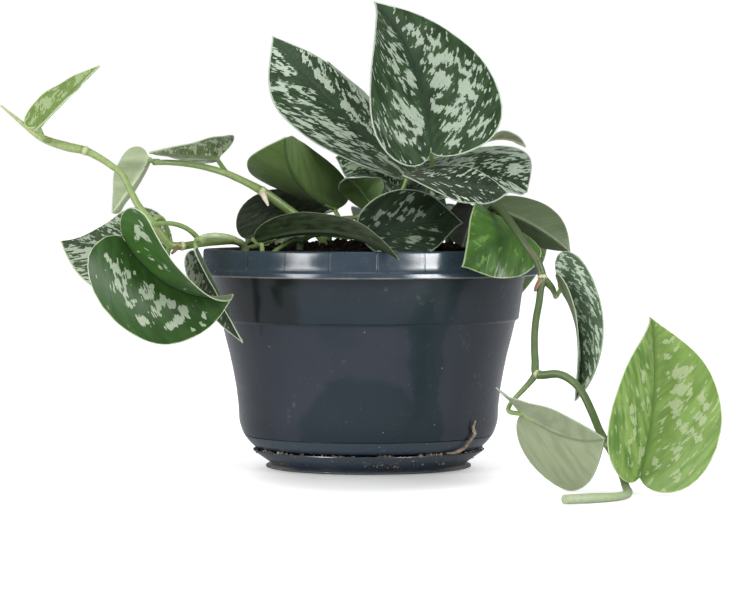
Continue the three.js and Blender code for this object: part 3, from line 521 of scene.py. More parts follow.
# ------------------------------------------------------------------ stems
# Knots are (x, y, z, radius); the first two stand upright in the soil. joints are the knots with
# a ring, shoots are short roots, and each petiole leaves the stem at a point, in the direction
# start, for the seat of its leaf.
STEMS = [
    dict(
        name="vine_left",
        knots=[
            (-66, -24, 100, 2), (-66, -24, 117, 2), (-70, -28, 122, 2), (-80, -38, 122, 2),
            (-90, -46, 121, 2), (-98, -52, 120, 2.1), (-104, -55, 121, 2.1), (-109, -58, 127, 2),
            (-114, -56, 134, 1.9), (-121, -53, 142, 1.8), (-129, -48, 157, 1.7), (-135, -46, 162, 1.7),
            (-141, -45, 166, 1.8), (-149, -44, 170, 2.1), (-158, -43, 172, 2.4), (-168, -42, 175, 2.1),
            (-174, -41, 178, 1.8), (-182, -40, 184, 1.2), (-188, -40, 189, 0.8), (-194, -40, 194, 0.4),
        ],
        joints=[5, 13],
        petioles=[
            dict(leaf="leaf_10", at=(-66, -24, 117), start=(0.2, 1, 0.3), r=1.4),
            dict(leaf="leaf_18", at=(-88, -45, 121), start=(-0.4, -0.4, 0.8), r=1.5),
            dict(leaf="leaf_19", at=(-113, -56, 133), start=(0.7, 0, 0.7), r=1.4),
            dict(leaf="leaf_22", at=(-166, -42, 174.5), start=(-0.8, -0.4, 0.5), r=1.4),
        ],
        shoots=[[(-100, -54, 120, 1.3), (-101, -57, 118, 1), (-103, -58, 116, 0.6)]],
    ),
    dict(
        name="vine_upper",
        knots=[
            (-24, -30, 103, 2.2), (-24, -30, 121, 2.2), (-31, -30, 130, 2.3), (-40, -30, 137, 2.4),
            (-48, -33, 143, 2.4), (-56, -35, 148.6, 2.3), (-65, -34, 153.5, 1.9), (-75, -32, 158, 1.8),
            (-85, -28, 161, 1.7), (-95, -24, 163, 1.6), (-106, -21, 164, 1.5), (-115, -16, 164, 1.4),
        ],
        joints=[5],
        petioles=[
            dict(leaf="leaf_21", at=(-58, -35, 149.8), start=(-0.8, 0.2, 0.5), r=1.2),
            dict(leaf="leaf_20", at=(-114, -17, 164), start=(-1, 0.4, 0), r=1.3),
        ],
        shoots=[[(-56, -36, 148.3, 1.6), (-54.6, -39, 145, 1.4), (-52.8, -40.5, 141, 0.5)]],
    ),
    dict(
        name="vine_short",
        knots=[
            (-65, -38, 100, 1.7), (-65, -38, 118, 1.7), (-70, -44, 123, 1.7), (-76, -51, 125, 1.7),
            (-82, -55, 125.5, 1.6), (-87, -54, 124.5, 1.4), (-91, -53, 122, 0.9),
        ],
        petioles=[
            dict(leaf="leaf_24", at=(-86, -60, 123), start=(-0.6, 0.4, 0.5), r=1.2),
        ],
    ),
    dict(
        name="vine_right",
        knots=[
            (57, -26, 103, 2.2), (57, -26, 121, 2.2), (60, -31, 132, 2.2), (65, -46, 139, 2.2),
            (68, -64, 139.8, 2.2), (74.5, -80, 131, 2.2), (81, -90, 121, 2.2), (86, -93, 114, 2.1),
            (89, -95, 105, 2.2), (88, -98, 99, 1.9), (87, -102, 92, 1.8), (85, -109, 83, 1.8),
            (84, -116, 74, 1.8), (84, -123, 64, 1.9), (85, -128, 57, 2.1), (95, -134, 57.4, 2),
            (102, -138, 54, 2), (107, -141, 48, 2), (111.3, -144, 39, 2), (115, -145, 30, 2),
            (119, -146, 23, 2), (123, -147, 15, 2), (126, -151, 8, 2), (127, -161, 3.2, 2),
            (127, -178, 2.3, 2), (124, -193, 2.3, 2), (118, -203, 2.3, 2.1), (106, -212, 2.6, 2.4),
            (93, -221, 2.8, 2.3),
        ],
        joints=[8, 14, 20],
        petioles=[
            dict(leaf="leaf_13", at=(61, -36, 134.5), start=(1, 0, 0.3), r=1.5),
            dict(leaf="leaf_14", at=(59, -29, 129), start=(0.3, 0.6, 0.6), r=1.4),
            dict(leaf="leaf_25", at=(58, -27, 126), start=(0, 0.5, 0.8), r=1.4),
            dict(leaf="leaf_15", at=(89, -95, 104), start=(0.8, 0.1, -0.5), r=2.2),
            dict(leaf="leaf_17", at=(84.5, -127.5, 57.5), start=(-0.5, -0.1, -0.85), r=1.6),
            dict(leaf="leaf_16", at=(123.5, -147.5, 14), start=(0.5, -0.2, -0.6), r=1.6),
        ],
        shoots=[[(88, -97, 103, 1.6), (86, -99, 100, 1.2), (85, -100, 98, 0.7)]],
    ),
    dict(
        name="crown_1",
        knots=[(29, -6, 104, 2.4), (29, -6, 122, 2.4), (29, -7, 132, 2.3)],
        petioles=[
            dict(leaf="leaf_01", at=(29, -7, 130), start=(0.1, -0.2, 1)),
            dict(leaf="leaf_02", at=(29, -7, 130), start=(-0.1, 0.2, 1)),
            dict(leaf="leaf_04", at=(29, -7, 131), start=(-0.3, -0.4, 1)),
        ],
    ),
    dict(
        name="crown_2",
        knots=[(44, 12, 104, 2.4), (44, 12, 122, 2.4), (44, 11, 132, 2.3)],
        petioles=[
            dict(leaf="leaf_05", at=(44, 11, 130), start=(-0.3, 0.1, 1)),
            dict(leaf="leaf_06", at=(44, 11, 130), start=(0.2, 0.4, 1)),
            dict(leaf="leaf_29", at=(44, 11, 131), start=(-0.2, 0.4, 1)),
        ],
    ),
    dict(
        name="crown_3",
        knots=[(2, 22, 104, 2.4), (2, 22, 122, 2.4), (3, 23, 132, 2.3)],
        petioles=[
            dict(leaf="leaf_03", at=(3, 23, 130), start=(0.2, 0.2, 1)),
            dict(leaf="leaf_07", at=(3, 23, 130), start=(0.5, 0, 1)),
            dict(leaf="leaf_30", at=(3, 23, 131), start=(-0.4, 0.4, 1)),
        ],
    ),
    dict(
        name="crown_4",
        knots=[(-22, -4, 104, 2.3), (-22, -4, 122, 2.3), (-21, -4, 130, 2.1)],
        petioles=[
            dict(leaf="leaf_09", at=(-21, -4, 128), start=(0.2, 0.3, 1)),
            dict(leaf="leaf_08", at=(-21, -4, 129), start=(0.6, 0, 1)),
        ],
    ),
    dict(
        name="crown_5",
        knots=[(-36, -46, 104, 2), (-36, -46, 119, 2), (-35, -47, 124, 1.8)],
        petioles=[
            dict(leaf="leaf_11", at=(-35, -47, 122), start=(-0.5, -0.3, 0.8)),
            dict(leaf="leaf_12", at=(-35, -47, 122), start=(0.7, -0.3, 0.8)),
        ],
    ),
    dict(
        name="crown_6",
        knots=[(0, 50, 103, 2.2), (0, 50, 120, 2.2), (1, 51, 128, 2)],
        petioles=[
            dict(leaf="leaf_26", at=(1, 51, 126), start=(0.2, 0.1, 1)),
            dict(leaf="leaf_27", at=(1, 51, 126), start=(-0.6, 0, 0.9)),
            dict(leaf="leaf_28", at=(1, 51, 126), start=(0.7, 0, 0.9)),
        ],
    ),
]

RING = 0.45  # how far a node's ring stands out
RING_WIDTH = 1.0
NO_RING = 9.0  # a distance in cm at which no ring shows
PETIOLE = 1.6  # radius of a petiole that names none
FLARE = 0.25  # how much wider a petiole is where it leaves its stem
FLARE_LENGTH = 3.0
STEM_SIDES = 16
PETIOLE_SIDES = 12
ROOT_SIDES = 10


def skin_colours(codes, share):
    """The colours that the codes give at each share of a stem's length, evenly spaced."""
    keys = np.array([tone(code) for code in codes])
    where = np.linspace(0, 1, len(keys))
    return np.stack([np.interp(share, where, keys[:, i]) for i in range(4)], -1)


def petiole_path(leaf, at, start, radius):
    """A cubic from the stem to 1.5 mm below the leaf's seat, then straight on to the leaf."""
    arrive = leaf.arrival()
    at, start = np.array(at, float), unit(np.array(start, float))
    end = leaf.seat() - arrive * 1.5
    span = np.linalg.norm(end - at)
    t = np.linspace(0, 1, max(int(span / 1.6), 10))
    curve = bezier([at, at + start * span * 0.4, end - arrive * span * 0.35, end], t)
    radii = radius + (STALK - radius) * np.minimum(1, 2 * t)
    radii = radii + FLARE * np.exp(-(t * span / FLARE_LENGTH) ** 2)
    path = np.concatenate([curve, [leaf.seat() + arrive * GAP]])
    return path, np.append(radii, STALK)


def fill_stem(shape, spec, leaves):
    """Adds a stem with its rings, its petioles and its short roots to the shape.

    The attribute ring holds the distance to the nearest ring in cm, and skin holds the colour.
    """
    path = smooth_path(spec["knots"], 0.9)
    line, radii = path[:, :3], path[:, 3].copy()
    far = distances(line)
    near = np.full(len(far), NO_RING * 10)
    for joint in spec.get("joints", []):
        knot = np.array(spec["knots"][joint][:3], float)
        here = far[np.argmin(np.linalg.norm(line - knot, axis=1))]
        near = np.where(np.abs(far - here) < np.abs(near), far - here, near)
    radii = radii + RING * np.exp(-(near / RING_WIDTH) ** 2)
    points, faces = tube(line, radii, STEM_SIDES)
    rows = np.append(np.repeat(np.arange(len(far)), STEM_SIDES), [0, len(far) - 1])
    skins = SKINS.get(spec["name"], SKINS["crown"])
    skin = skin_colours(skins, far / far[-1])[rows]
    shape.add(points, faces, 0, skin=skin, ring=near[rows, None] / 10)
    middle_skin = skins[(len(skins) - 1) // 2]
    for item in spec["petioles"]:
        radius = item.get("r", PETIOLE)
        curve, radii = petiole_path(leaves[item["leaf"]], item["at"], item["start"], radius)
        fill_branch(shape, curve, radii, PETIOLE_SIDES, [middle_skin, STALK_TONE])
    for knots in spec.get("shoots", []):
        path = smooth_path(knots, 0.5)
        fill_branch(shape, path[:, :3], path[:, 3], ROOT_SIDES, ROOT_SKINS[spec["name"]])
    return shape


def fill_branch(shape, path, radii, sides, skins):
    """Adds a tube without rings, whose colour runs from one to the other of two skins."""
    points, faces = tube(path, radii, sides)
    far = distances(path)
    share = np.append(np.repeat(far / far[-1], sides), [0, 1])
    ring = np.full((len(share), 1), NO_RING)
    shape.add(points, faces, 0, skin=skin_colours(skins, share), ring=ring)


# ------------------------------------------------------------------ colours of each leaf, with painted light and shade
# Dark and Light are the greens of the upper face, with Tint for Dark on its left half, Rib the
# green by the midrib, Edge the margin and Silver the patches; Tint is painted light and shade,
# lighter than Dark on some leaves and darker on others. Cover is how much of the face the
# patches take, Patch their size in cm, Flecks how many small flecks there are, Band the width of
# the plain strip by the midrib and Rim that of the margin, both in cm, Veil a thin silvery cast,
# and Streak how far the patches are drawn out along the side veins. back gives the underside's
# base, shade and vein colours and lines how strong its veins are; depth is the depth of the
# relief in mm, gloss the strength of the shine, and a leaf with both has the same look on its
# two sides.
UPPER_KEYS = ("Dark", "Light", "Silver", "Rib", "Edge", "Tint", "Cover", "Patch", "Flecks", "Band",
              "Rim", "Veil", "Streak")
COMMON = dict(Dark="2c4027", Light="3c5636", Tint="2c4027", Silver="9fb09b", Rib="38503c",
              Edge="adbba8", Cover=0.46, Patch=0.9, Flecks=0.45, Band=0.3, Rim=0.07, Veil=0.12,
              Streak=1.0, back=("75865f", "66784f", "8a9a75"), back_edge="a6b494", lines=0.45,
              depth=0.3, gloss=0.28, both=False)
# Beside its own colour, each leaf's look holds painted light and shade, set leaf by leaf.
LOOKS = {
    # leaf_01 faces the lamps: its greens are painted darker than its own, painted shade.
    "leaf_01": dict(Dark="263820", Light="334c2c", Tint="24361f", Silver="9ead9b", Cover=-0.42, Patch=0.5,
                    Band=0.34, Rim=0.09, Edge="b0beab", Veil=0.0, Flecks=1.1, Rib="2d4130"),
    "leaf_02": dict(Dark="2b4125", Light="344e2d", Tint="273a20", Silver="b9c8b5", Rib="324933",
                    Cover=0.33, Patch=1.0, Band=0.42, Rim=0.09, Streak=0.95, Veil=0.03),
    "leaf_03": dict(Dark="4a5c44", Light="55664e", Silver="9aa892", Cover=0.85, Band=0.2),
    "leaf_04": dict(Dark="233120", Light="2b3b27", Tint="233120", Silver="c0cfbb", Cover=-0.15, Patch=0.5,
                    Flecks=0.75, Band=0.2, Streak=1.1, Veil=0.03, Rib="2f4432"),
    "leaf_05": dict(Dark="253623", Light="30442c", Tint="2c3d28", Silver="c3d3c0", Cover=0.45, Patch=0.7,
                    Flecks=0.7, Band=0.2, Streak=1.05, Veil=0.03, Rib="304833"),
    # leaf_06 lies in shade: its underside is painted lighter than its own, painted light.
    "leaf_06": dict(Dark="3a4a30", Light="48583a", Silver="98a58c", back=("a5ac8c", "92997b", "c9ceb0")),
    # leaf_07 lies in shade: its greens are painted lighter than its own, painted light.
    "leaf_07": dict(Dark="394b3b", Light="465c42", Tint="394b3b", Silver="dbf1d6", Rib="506d53",
                    Cover=0.45, Patch=0.6, Band=0.15, Streak=1.4),
    # leaf_08 lies in shade: its underside is painted lighter than its own, painted light.
    "leaf_08": dict(back=("647e4b", "54703f", "809a64"), back_edge="7f9365", lines=0.3),
    # leaf_09 lies in shade: its underside is painted lighter than its own, painted light.
    "leaf_09": dict(back=("637f43", "556f38", "435a2d"), back_edge="869965", lines=0.35),
    "leaf_10": dict(both=True, Dark="323b2d", Light="444d3d", Tint="545a49", Silver="565c4b",
                    Rib="4a5040", Edge="4f5a45", Cover=-0.1, Flecks=0.0, Band=0.15, Streak=0.22, Veil=0.0, Rim=0.04,
                    depth=0.06, gloss=0.1),
    "leaf_11": dict(both=True, Dark="182112", Light="2a381f", Tint="33442a", Silver="405037",
                    Rib="1c2915", Edge="62704f", Cover=-0.3, Flecks=-0.4, Band=0.1, Streak=0.22, Veil=0.0, Rim=0.05,
                    depth=0.06, gloss=0.1),
    "leaf_12": dict(Dark="1c2919", Light="253623", Tint="1c2919", Silver="7a8876", Rib="2b3d2b",
                    Cover=-0.55, Patch=0.4, Flecks=1.05, Veil=0.0, Edge="86937e", Rim=0.06),
    "leaf_13": dict(Dark="3b5e20", Light="436a27", Tint="365720", Silver="5e833b", Rib="2f5020", Cover=0.0,
                    Flecks=0.0, Veil=0.05, Edge="8fa477", depth=0.25, gloss=0.3),
    "leaf_14": dict(back=("546444", "4f5e3f", "6d7c5c"), back_edge="8a9775", lines=0.25),
    "leaf_15": dict(Dark="51664d", Light="60775c", Tint="546950", Silver="cddcc9", Rib="4c6851",
                    Edge="a5b29b", Cover=0.25, Patch=0.6, Flecks=0.7, Band=0.2, Veil=0.02, Streak=1.05),
    "leaf_16": dict(Dark="68863f", Light="7c9a4e", Tint="527430", Silver="9fae82", Rib="648241",
                    Edge="b4c598", Cover=-0.35, Patch=0.45, Band=0.2, Flecks=0.95, Veil=0.0, Rim=0.04,
                    back=("8fa06c", "7f925f", "a3b184")),
    "leaf_17": dict(Dark="5f7c46", Light="6d8a52", Silver="a0b389", back=("9fa988", "8e9a79", "798566"),
                    back_edge="b0bb9e", lines=0.15),
    "leaf_18": dict(Dark="2c4a1e", Light="375829", Tint="3d6329", Silver="a9b79f", Rib="37502d",
                    Edge="b2bf9f", Cover=-0.4, Patch=0.45, Flecks=0.6, Band=0.2, Rim=0.06, Veil=0.0,
                    depth=0.1, gloss=0.12),
    "leaf_19": dict(Dark="33462a", Light="3d5232", Tint="33462a", Silver="a5b19e", Rib="2e452e",
                    Edge="b2bf9f", Cover=0.38, Patch=0.7, Band=0.2),
    "leaf_20": dict(Dark="5c7a3c", Light="6e8c4c", Silver="a5b592", back=("bfcca7", "aebb95", "d0ddbd"),
                    back_edge="b7c2a3", lines=0.3),
    "leaf_21": dict(both=True, Dark="4d613c", Light="5f744b", Tint="7c8e60", Silver="cbdab6", Rib="8a9870",
                    Edge="9fad88", Cover=0.45, Band=0.15, Streak=1.8),
    "leaf_22": dict(Dark="667e3c", Light="77914c", Tint="6d8644", Silver="9daf7e", Rib="748c48",
                    Edge="b3c394", Cover=0.35, Patch=0.8, Band=0.15, Veil=0.0, Flecks=0.0,
                    back=("93a86c", "849a5e", "a6b982"), back_edge="b0c090"),
    "leaf_24": dict(Dark="27321e", Light="323e26", Tint="25361b", Silver="757e6d", Rib="2f442c",
                    Cover=0.55, Patch=0.6, back=("4d5945", "424d3a", "67725c")),
    "leaf_25": dict(Dark="182513", Light="202f19", Tint="1a2716", Silver="415438", Rib="24321f",
                    Cover=0.3, back=("1b2417", "141b10", "2a3423"), back_edge="3a4532"),
    # leaf_30 lies in shade, and its colours are painted as dark as it looks there: painted shade.
    "leaf_30": dict(Dark="1d2818", Light="263320", Tint="1d2818", Silver="4e5b47", Cover=0.2,
                    back=("232f1e", "1b2517", "3a4a33"), back_edge="54644c"),
}
# The larger silver marks of four leaves, in cm: (along from the base, out to the left, radius).
MARKS = {
    "leaf_01": [
        (7.7, 0.6, 0.35), (7.2, 0.9, 0.3), (6.6, 0.5, 0.3), (6.2, 1.3, 0.4), (5.8, 1.8, 0.3),
        (5.4, 1.2, 0.4), (5.0, 2.2, 0.3), (4.8, 1.7, 0.55), (4.6, 0.6, 0.4), (4.1, 0.7, 0.4),
        (4.1, 1.4, 0.35), (3.4, 0.8, 0.2), (3.1, 2.7, 0.3), (3.0, 2.1, 0.35), (2.4, 2.1, 0.3),
        (2.6, 1.6, 0.3), (2.3, 1.4, 0.4), (2.1, 1.0, 0.5), (1.8, 0.8, 0.5), (1.6, 0.5, 0.4),
        (1.1, 0.7, 0.4), (1.4, 1.7, 0.4), (1.0, 2.7, 0.3), (0.6, 1.8, 0.25), (0.2, 1.6, 0.3),
        (0.4, 1.0, 0.3), (7.6, -0.9, 0.4), (7.1, -0.9, 0.3), (6.6, -0.9, 0.35), (6.0, -1.2, 0.3),
        (6.5, -1.5, 0.25), (6.2, -1.7, 0.35), (5.2, -0.6, 0.3), (5.2, -1.1, 0.45), (5.3, -1.5, 0.4),
        (5.1, -2.0, 0.45), (4.6, -0.8, 0.3), (4.3, -1.2, 0.3), (3.9, -0.8, 0.4), (3.8, -1.4, 0.45),
        (4.8, -2.9, 0.35), (4.4, -3.4, 0.3), (4.1, -2.6, 0.35), (3.4, -2.3, 0.5), (3.0, -2.4, 0.25),
        (3.3, -3.1, 0.35), (3.1, -0.8, 0.3), (2.6, -1.9, 0.3), (2.7, -2.5, 0.3), (2.4, -0.5, 0.4),
        (2.1, -1.3, 0.4), (2.0, -2.0, 0.4), (1.5, -1.9, 0.3), (1.1, -1.0, 0.4), (1.1, -1.5, 0.45),
        (1.3, -2.9, 0.3), (0.8, -2.9, 0.25), (0.7, -2.2, 0.3), (0.2, -1.2, 0.3),
    ],
    "leaf_12": [
        (0.9, 1.0, 0.25), (1.35, 0.8, 0.22), (0.5, 0.7, 0.2), (0.65, 0.3, 0.28), (0.8, -0.1, 0.26),
        (2.1, 0.5, 0.25), (2.3, 0.9, 0.22), (2.7, 0.8, 0.28), (3.2, 0.7, 0.3), (2.5, 1.6, 0.28),
        (2.05, 1.3, 0.18), (2.3, -1.4, 0.4), (1.85, -1.6, 0.32), (3.1, -0.4, 0.22), (3.8, -0.7, 0.25),
        (3.3, -1.6, 0.22), (0.0, 0.2, 0.18),
    ],
    "leaf_16": [
        (5.2, -1.2, 0.35), (5.3, -1.6, 0.3), (4.4, -1.4, 0.4), (4.3, -1.8, 0.25), (3.6, -1.3, 0.45),
        (3.3, -1.2, 0.3), (2.8, -1.4, 0.2), (2.5, -1.7, 0.3), (2.4, -2.1, 0.35), (2.1, -2.5, 0.3),
        (1.5, -1.5, 0.4), (1.1, -1.7, 0.35), (0.7, -0.7, 0.3), (0.3, -1.9, 0.35), (-0.6, -1.5, 0.25),
        (4.0, -2.4, 0.25), (3.6, -2.7, 0.25), (3.1, -2.4, 0.35), (6.0, -0.7, 0.25), (6.8, -0.7, 0.2),
        (6.4, -1.1, 0.2), (4.6, 1.5, 0.38), (4.0, 1.1, 0.25), (3.7, 0.8, 0.3), (3.2, 1.3, 0.25),
        (3.0, 0.5, 0.25), (2.7, 2.2, 0.3), (2.3, 1.8, 0.22), (1.7, 1.6, 0.3), (1.1, 1.8, 0.3),
        (1.1, 0.4, 0.35), (0.6, 0.5, 0.22), (0.3, 1.1, 0.25), (6.3, 0.7, 0.25), (5.2, 1.2, 0.2),
    ],
    "leaf_18": [
        (0.85, -1.5, 0.4), (0.75, -1.0, 0.2), (1.35, -1.15, 0.4), (1.55, -1.45, 0.4), (1.5, -1.9, 0.4),
        (1.9, -2.0, 0.2), (2.5, -1.15, 0.5), (2.6, -0.6, 0.18), (2.35, -1.9, 0.22), (2.2, -2.2, 0.22),
        (3.4, -0.85, 0.35), (3.25, -1.25, 0.4), (3.25, -1.7, 0.45), (3.75, -0.9, 0.33),
        (3.0, -2.4, 0.35), (4.4, -0.95, 0.38), (4.6, -1.25, 0.25), (4.3, -1.5, 0.38),
        (4.05, -1.9, 0.35), (5.5, -0.95, 0.32), (5.35, -1.4, 0.25), (5.1, -1.8, 0.2), (0.3, -1.6, 0.2),
        (0.7, -2.0, 0.15), (0.1, 1.4, 0.38), (0.0, 2.0, 0.3), (0.4, 1.0, 0.35), (0.6, 1.8, 0.32),
        (0.9, 2.1, 0.25), (1.4, 1.1, 0.28), (1.7, 1.1, 0.25), (2.2, 1.1, 0.25), (2.4, 1.5, 0.22),
        (4.0, 0.6, 0.2),
    ],
}
# Colours along each stem, evenly spaced, and along its short roots.
SKINS = {
    "crown": ["2f4120", "41582c", "587040"],
    "vine_left": ["617746", "758c4f", "829959", "8da363", "a0b175", "adbb84"],
    "vine_upper": ["617945", "71894e", "7f9759", "8da366", "9aad75"],
    "vine_short": ["8a9e68", "9bae78", "a8b888", "b2c19a"],
    "vine_right": [
        "2f3c29", "3e4d2b", "435331", "4b5e37", "566b40", "667c4a", "7f9661", "98a87f", "a7b491",
    ],
}
ROOT_SKINS = {
    "vine_upper": ["c9b9a0", "ece6d2"],
    "vine_left": ["8a6a4a", "6d4a35"],
    "vine_right": ["8a6a4a", "6d4a35"],
}


# ------------------------------------------------------------------ shader nodes
VEIN_SLANT = 0.72  # how far a side vein runs towards the tip for each cm outwards
VEIN_BOW = 0.11  # and for each square cm, so that it bends forward
HALF_SHIFT = 3.7  # keeps the patterns of a blade's two halves apart, in cm
CELLS = 520.0  # cells in a metre, one for each speck of dust or pale bit of soil
STREAK_TONE = "3d4f24"


class Net:
    """Adds nodes to a node tree: a value that is a socket is linked, and any other is set."""

    def __init__(self, tree):
        self.tree = tree

    def node(self, kind, values=None, **settings):
        made = self.tree.nodes.new("ShaderNode" + kind)
        for name, value in settings.items():
            setattr(made, name, value)
        for key, value in (values or {}).items():
            if isinstance(value, bpy.types.NodeSocket):
                self.tree.links.new(value, made.inputs[key])
            else:
                made.inputs[key].default_value = value
        return made

    def math(self, operation, a, b=0.0, c=0.0):
        return self.node("Math", {0: a, 1: b, 2: c}, operation=operation).outputs[0]

    def span(self, x, low, high, start=0.0, end=1.0):
        """x mapped smoothly from low..high to start..end, and held at the ends."""
        values = {"Value": x, "From Min": low, "From Max": high, "To Min": start, "To Max": end}
        return self.node("MapRange", values, interpolation_type="SMOOTHSTEP").outputs["Result"]

    def mix(self, share, a, b):
        """The colour a where share is 0, passing to b where it is 1."""
        return self.node("Mix", {0: share, 6: a, 7: b}, data_type="RGBA").outputs[2]

    def times(self, a, b):
        return self.math("MULTIPLY", a, b)

    def plus(self, a, b):
        return self.math("ADD", a, b)

    def minus(self, a, b):
        return self.math("SUBTRACT", a, b)

    def line(self, a, b, c):
        """a times b, plus c."""
        return self.math("MULTIPLY_ADD", a, b, c)

    def size(self, a):
        return self.math("ABSOLUTE", a)

    def join(self, x, y, z=0.0):
        return self.node("CombineXYZ", {0: x, 1: y, 2: z}).outputs[0]

    def parts(self, vector):
        return self.node("SeparateXYZ", {0: vector}).outputs

    def stretch(self, vector, factors):
        return self.node("VectorMath", {0: vector, 1: factors}, operation="MULTIPLY").outputs[0]

    def place(self):
        """The point's place on the object, in metres."""
        return self.node("TexCoord").outputs["Object"]

    def noise(self, vector, scale, detail=2.0, rough=0.5, flat=False, warp=0.0):
        values = {"Vector": vector, "Scale": scale, "Detail": detail, "Roughness": rough,
                  "Distortion": warp}
        kind = "2D" if flat else "3D"
        return self.node("TexNoise", values, noise_dimensions=kind).outputs["Fac"]

    def cells(self, vector, scale, output="Position", flat=False):
        kind = "2D" if flat else "3D"
        values = {"Vector": vector, "Scale": scale}
        return self.node("TexVoronoi", values, voronoi_dimensions=kind).outputs[output]

    def attribute(self, name, output="Vector"):
        return self.node("Attribute", None, attribute_name=name).outputs[output]


def make_group(name, inputs):
    """A node group with an input for each value, which is its default; a string is a colour."""
    tree = bpy.data.node_groups.new(name, "ShaderNodeTree")
    for key, value in inputs.items():
        kind = "NodeSocketColor" if isinstance(value, str) else "NodeSocketFloat"
        socket = tree.interface.new_socket(key, in_out="INPUT", socket_type=kind)
        socket.default_value = tone(value) if isinstance(value, str) else value
    for key, kind in {"Color": "Color", "Roughness": "Float", "Height": "Float"}.items():
        tree.interface.new_socket(key, in_out="OUTPUT", socket_type="NodeSocket" + kind)
    return tree, Net(tree), tree.nodes.new("NodeGroupInput").outputs


def finish_group(tree, color, rough, height):
    """Links the group's three outputs and gives the group."""
    result = tree.nodes.new("NodeGroupOutput")
    for key, socket in {"Color": color, "Roughness": rough, "Height": height}.items():
        tree.links.new(socket, result.inputs[key])
    return tree


def vein_place(net):
    """The blade attribute as place along the side veins (a, b), side of the midrib and rim.

    a is where the vein through a point leaves the midrib, b how far out the point lies, and rim
    how far it is from the margin, all in cm.
    """
    u, v, rim = net.parts(net.attribute("blade"))
    b = net.size(v)
    side = net.math("SIGN", v)
    slant = net.line(net.times(b, b), VEIN_BOW, net.times(b, VEIN_SLANT))
    return net.minus(u, slant), b, side, rim


def satin_group():
    """The upper face: silver patches with toothed edges on green, along the side veins.

    The patches are a noise read at the middle of small cells, with teeth along the veins and the
    blade's own marks added, and cut off at a threshold, so their edges step from cell to cell.
    A finer noise gives the flecks. Marked is 1 on a blade with marks of its own, and makes the
    noise count for less.
    """
    inputs = {key: COMMON[key] for key in UPPER_KEYS}
    tree, net, given = make_group("satin_blade", {**inputs, "Seed": 0.0, "Marked": 0.0})
    a, b, side, rim = vein_place(net)
    seed = net.line(side, HALF_SHIFT, given["Seed"])
    along = net.plus(a, seed)
    slow = net.math("DIVIDE", b, given["Streak"])
    place = net.join(along, net.line(slow, 0.8, seed))
    step = net.cells(place, 8.5, flat=True)
    even = net.stretch(step, (1.0, 2.4, 1.0))
    coarse = net.noise(even, net.math("DIVIDE", 1.3, given["Patch"]), 1.7, 0.6, flat=True)
    broad = net.noise(even, 0.5, 0.0, 0.5, flat=True)
    tooth_place = net.join(along, net.line(slow, 0.35, seed))
    teeth = net.noise(tooth_place, 8.0, 0.0, 0.5, flat=True)
    weight = net.line(given["Marked"], -0.35, 0.8)
    field = net.line(broad, 0.3, net.times(coarse, weight))
    field = net.line(teeth, net.line(given["Marked"], 0.1, 0.14), field)
    own = net.attribute("marks", "Fac")
    field = net.line(own, net.times(given["Marked"], 0.5), field)
    level = net.line(given["Cover"], -0.3, 0.762)
    inner = net.times(given["Band"], 0.45)
    band = net.span(b, inner, net.times(given["Band"], 1.2), 0.2, 0.0)
    near_rim = net.span(rim, 0.04, 0.2, 0.05, 0.0)
    level = net.plus(level, net.plus(band, near_rim))
    patch = net.span(net.minus(field, level), -0.004, 0.004)
    fine_step = net.cells(place, 17.0, flat=True)
    fine = net.noise(fine_step, 3.2, 1.0, 0.5, flat=True)
    fine = net.line(net.minus(field, level), 0.5, fine)
    fine_level = net.line(given["Flecks"], -0.25, 0.76)
    fine_level = net.plus(fine_level, net.span(b, 0.1, 0.22, 0.3, 0.0))
    fleck = net.span(net.minus(fine, fine_level), -0.006, 0.006)
    silver = net.math("MAXIMUM", patch, fleck)
    mottle = net.noise(place, 1.2, 2.0, 0.5, flat=True)
    blend = net.span(mottle, 0.3, 0.7)
    green = net.mix(blend, given["Dark"], given["Light"])
    # Painted light and shade: the left half takes Tint in place of Dark.
    green = net.mix(net.span(side, -0.5, 0.5), green, net.mix(blend, given["Tint"], given["Light"]))
    reach = net.line(given["Band"], 1.1, 0.1)
    green = net.mix(net.span(b, 0.05, reach, 0.7, 0.0), green, given["Rib"])
    drift = net.noise(place, 1.3, 1.0, 0.5, flat=True)
    vein = net.math("COSINE", net.line(drift, 9.0, net.times(a, 9.0)))
    line = net.span(vein, 0.9, 1.0, 0.0, 0.1)
    green = net.mix(line, green, given["Light"])
    shade = net.noise(place, 14.0, 2.0, 0.7, flat=True)
    pale = net.mix(net.span(shade, 0.3, 0.75, 0.0, 0.22), given["Silver"], green)
    veil = net.span(net.noise(fine_step, 6.0, 1.0, 0.5, flat=True), 0.5, 0.62)
    green = net.mix(net.times(veil, given["Veil"]), green, given["Silver"])
    color = net.mix(silver, green, pale)
    thin = net.times(given["Rim"], net.span(mottle, 0.3, 0.7, 0.8, 1.25))
    edge = net.span(rim, net.times(thin, 0.6), thin, 1.0, 0.0)
    color = net.mix(edge, color, given["Edge"])
    rough = net.line(silver, 0.1, net.span(mottle, 0.2, 0.8, 0.32, 0.44))
    swell = net.times(vein, net.span(b, 0.0, 0.6, 0.0, -0.2))
    height = net.plus(swell, net.times(mottle, 1.4))
    height = net.line(shade, 0.12, height)
    height = net.line(silver, 0.1, height)
    return finish_group(tree, color, rough, height)


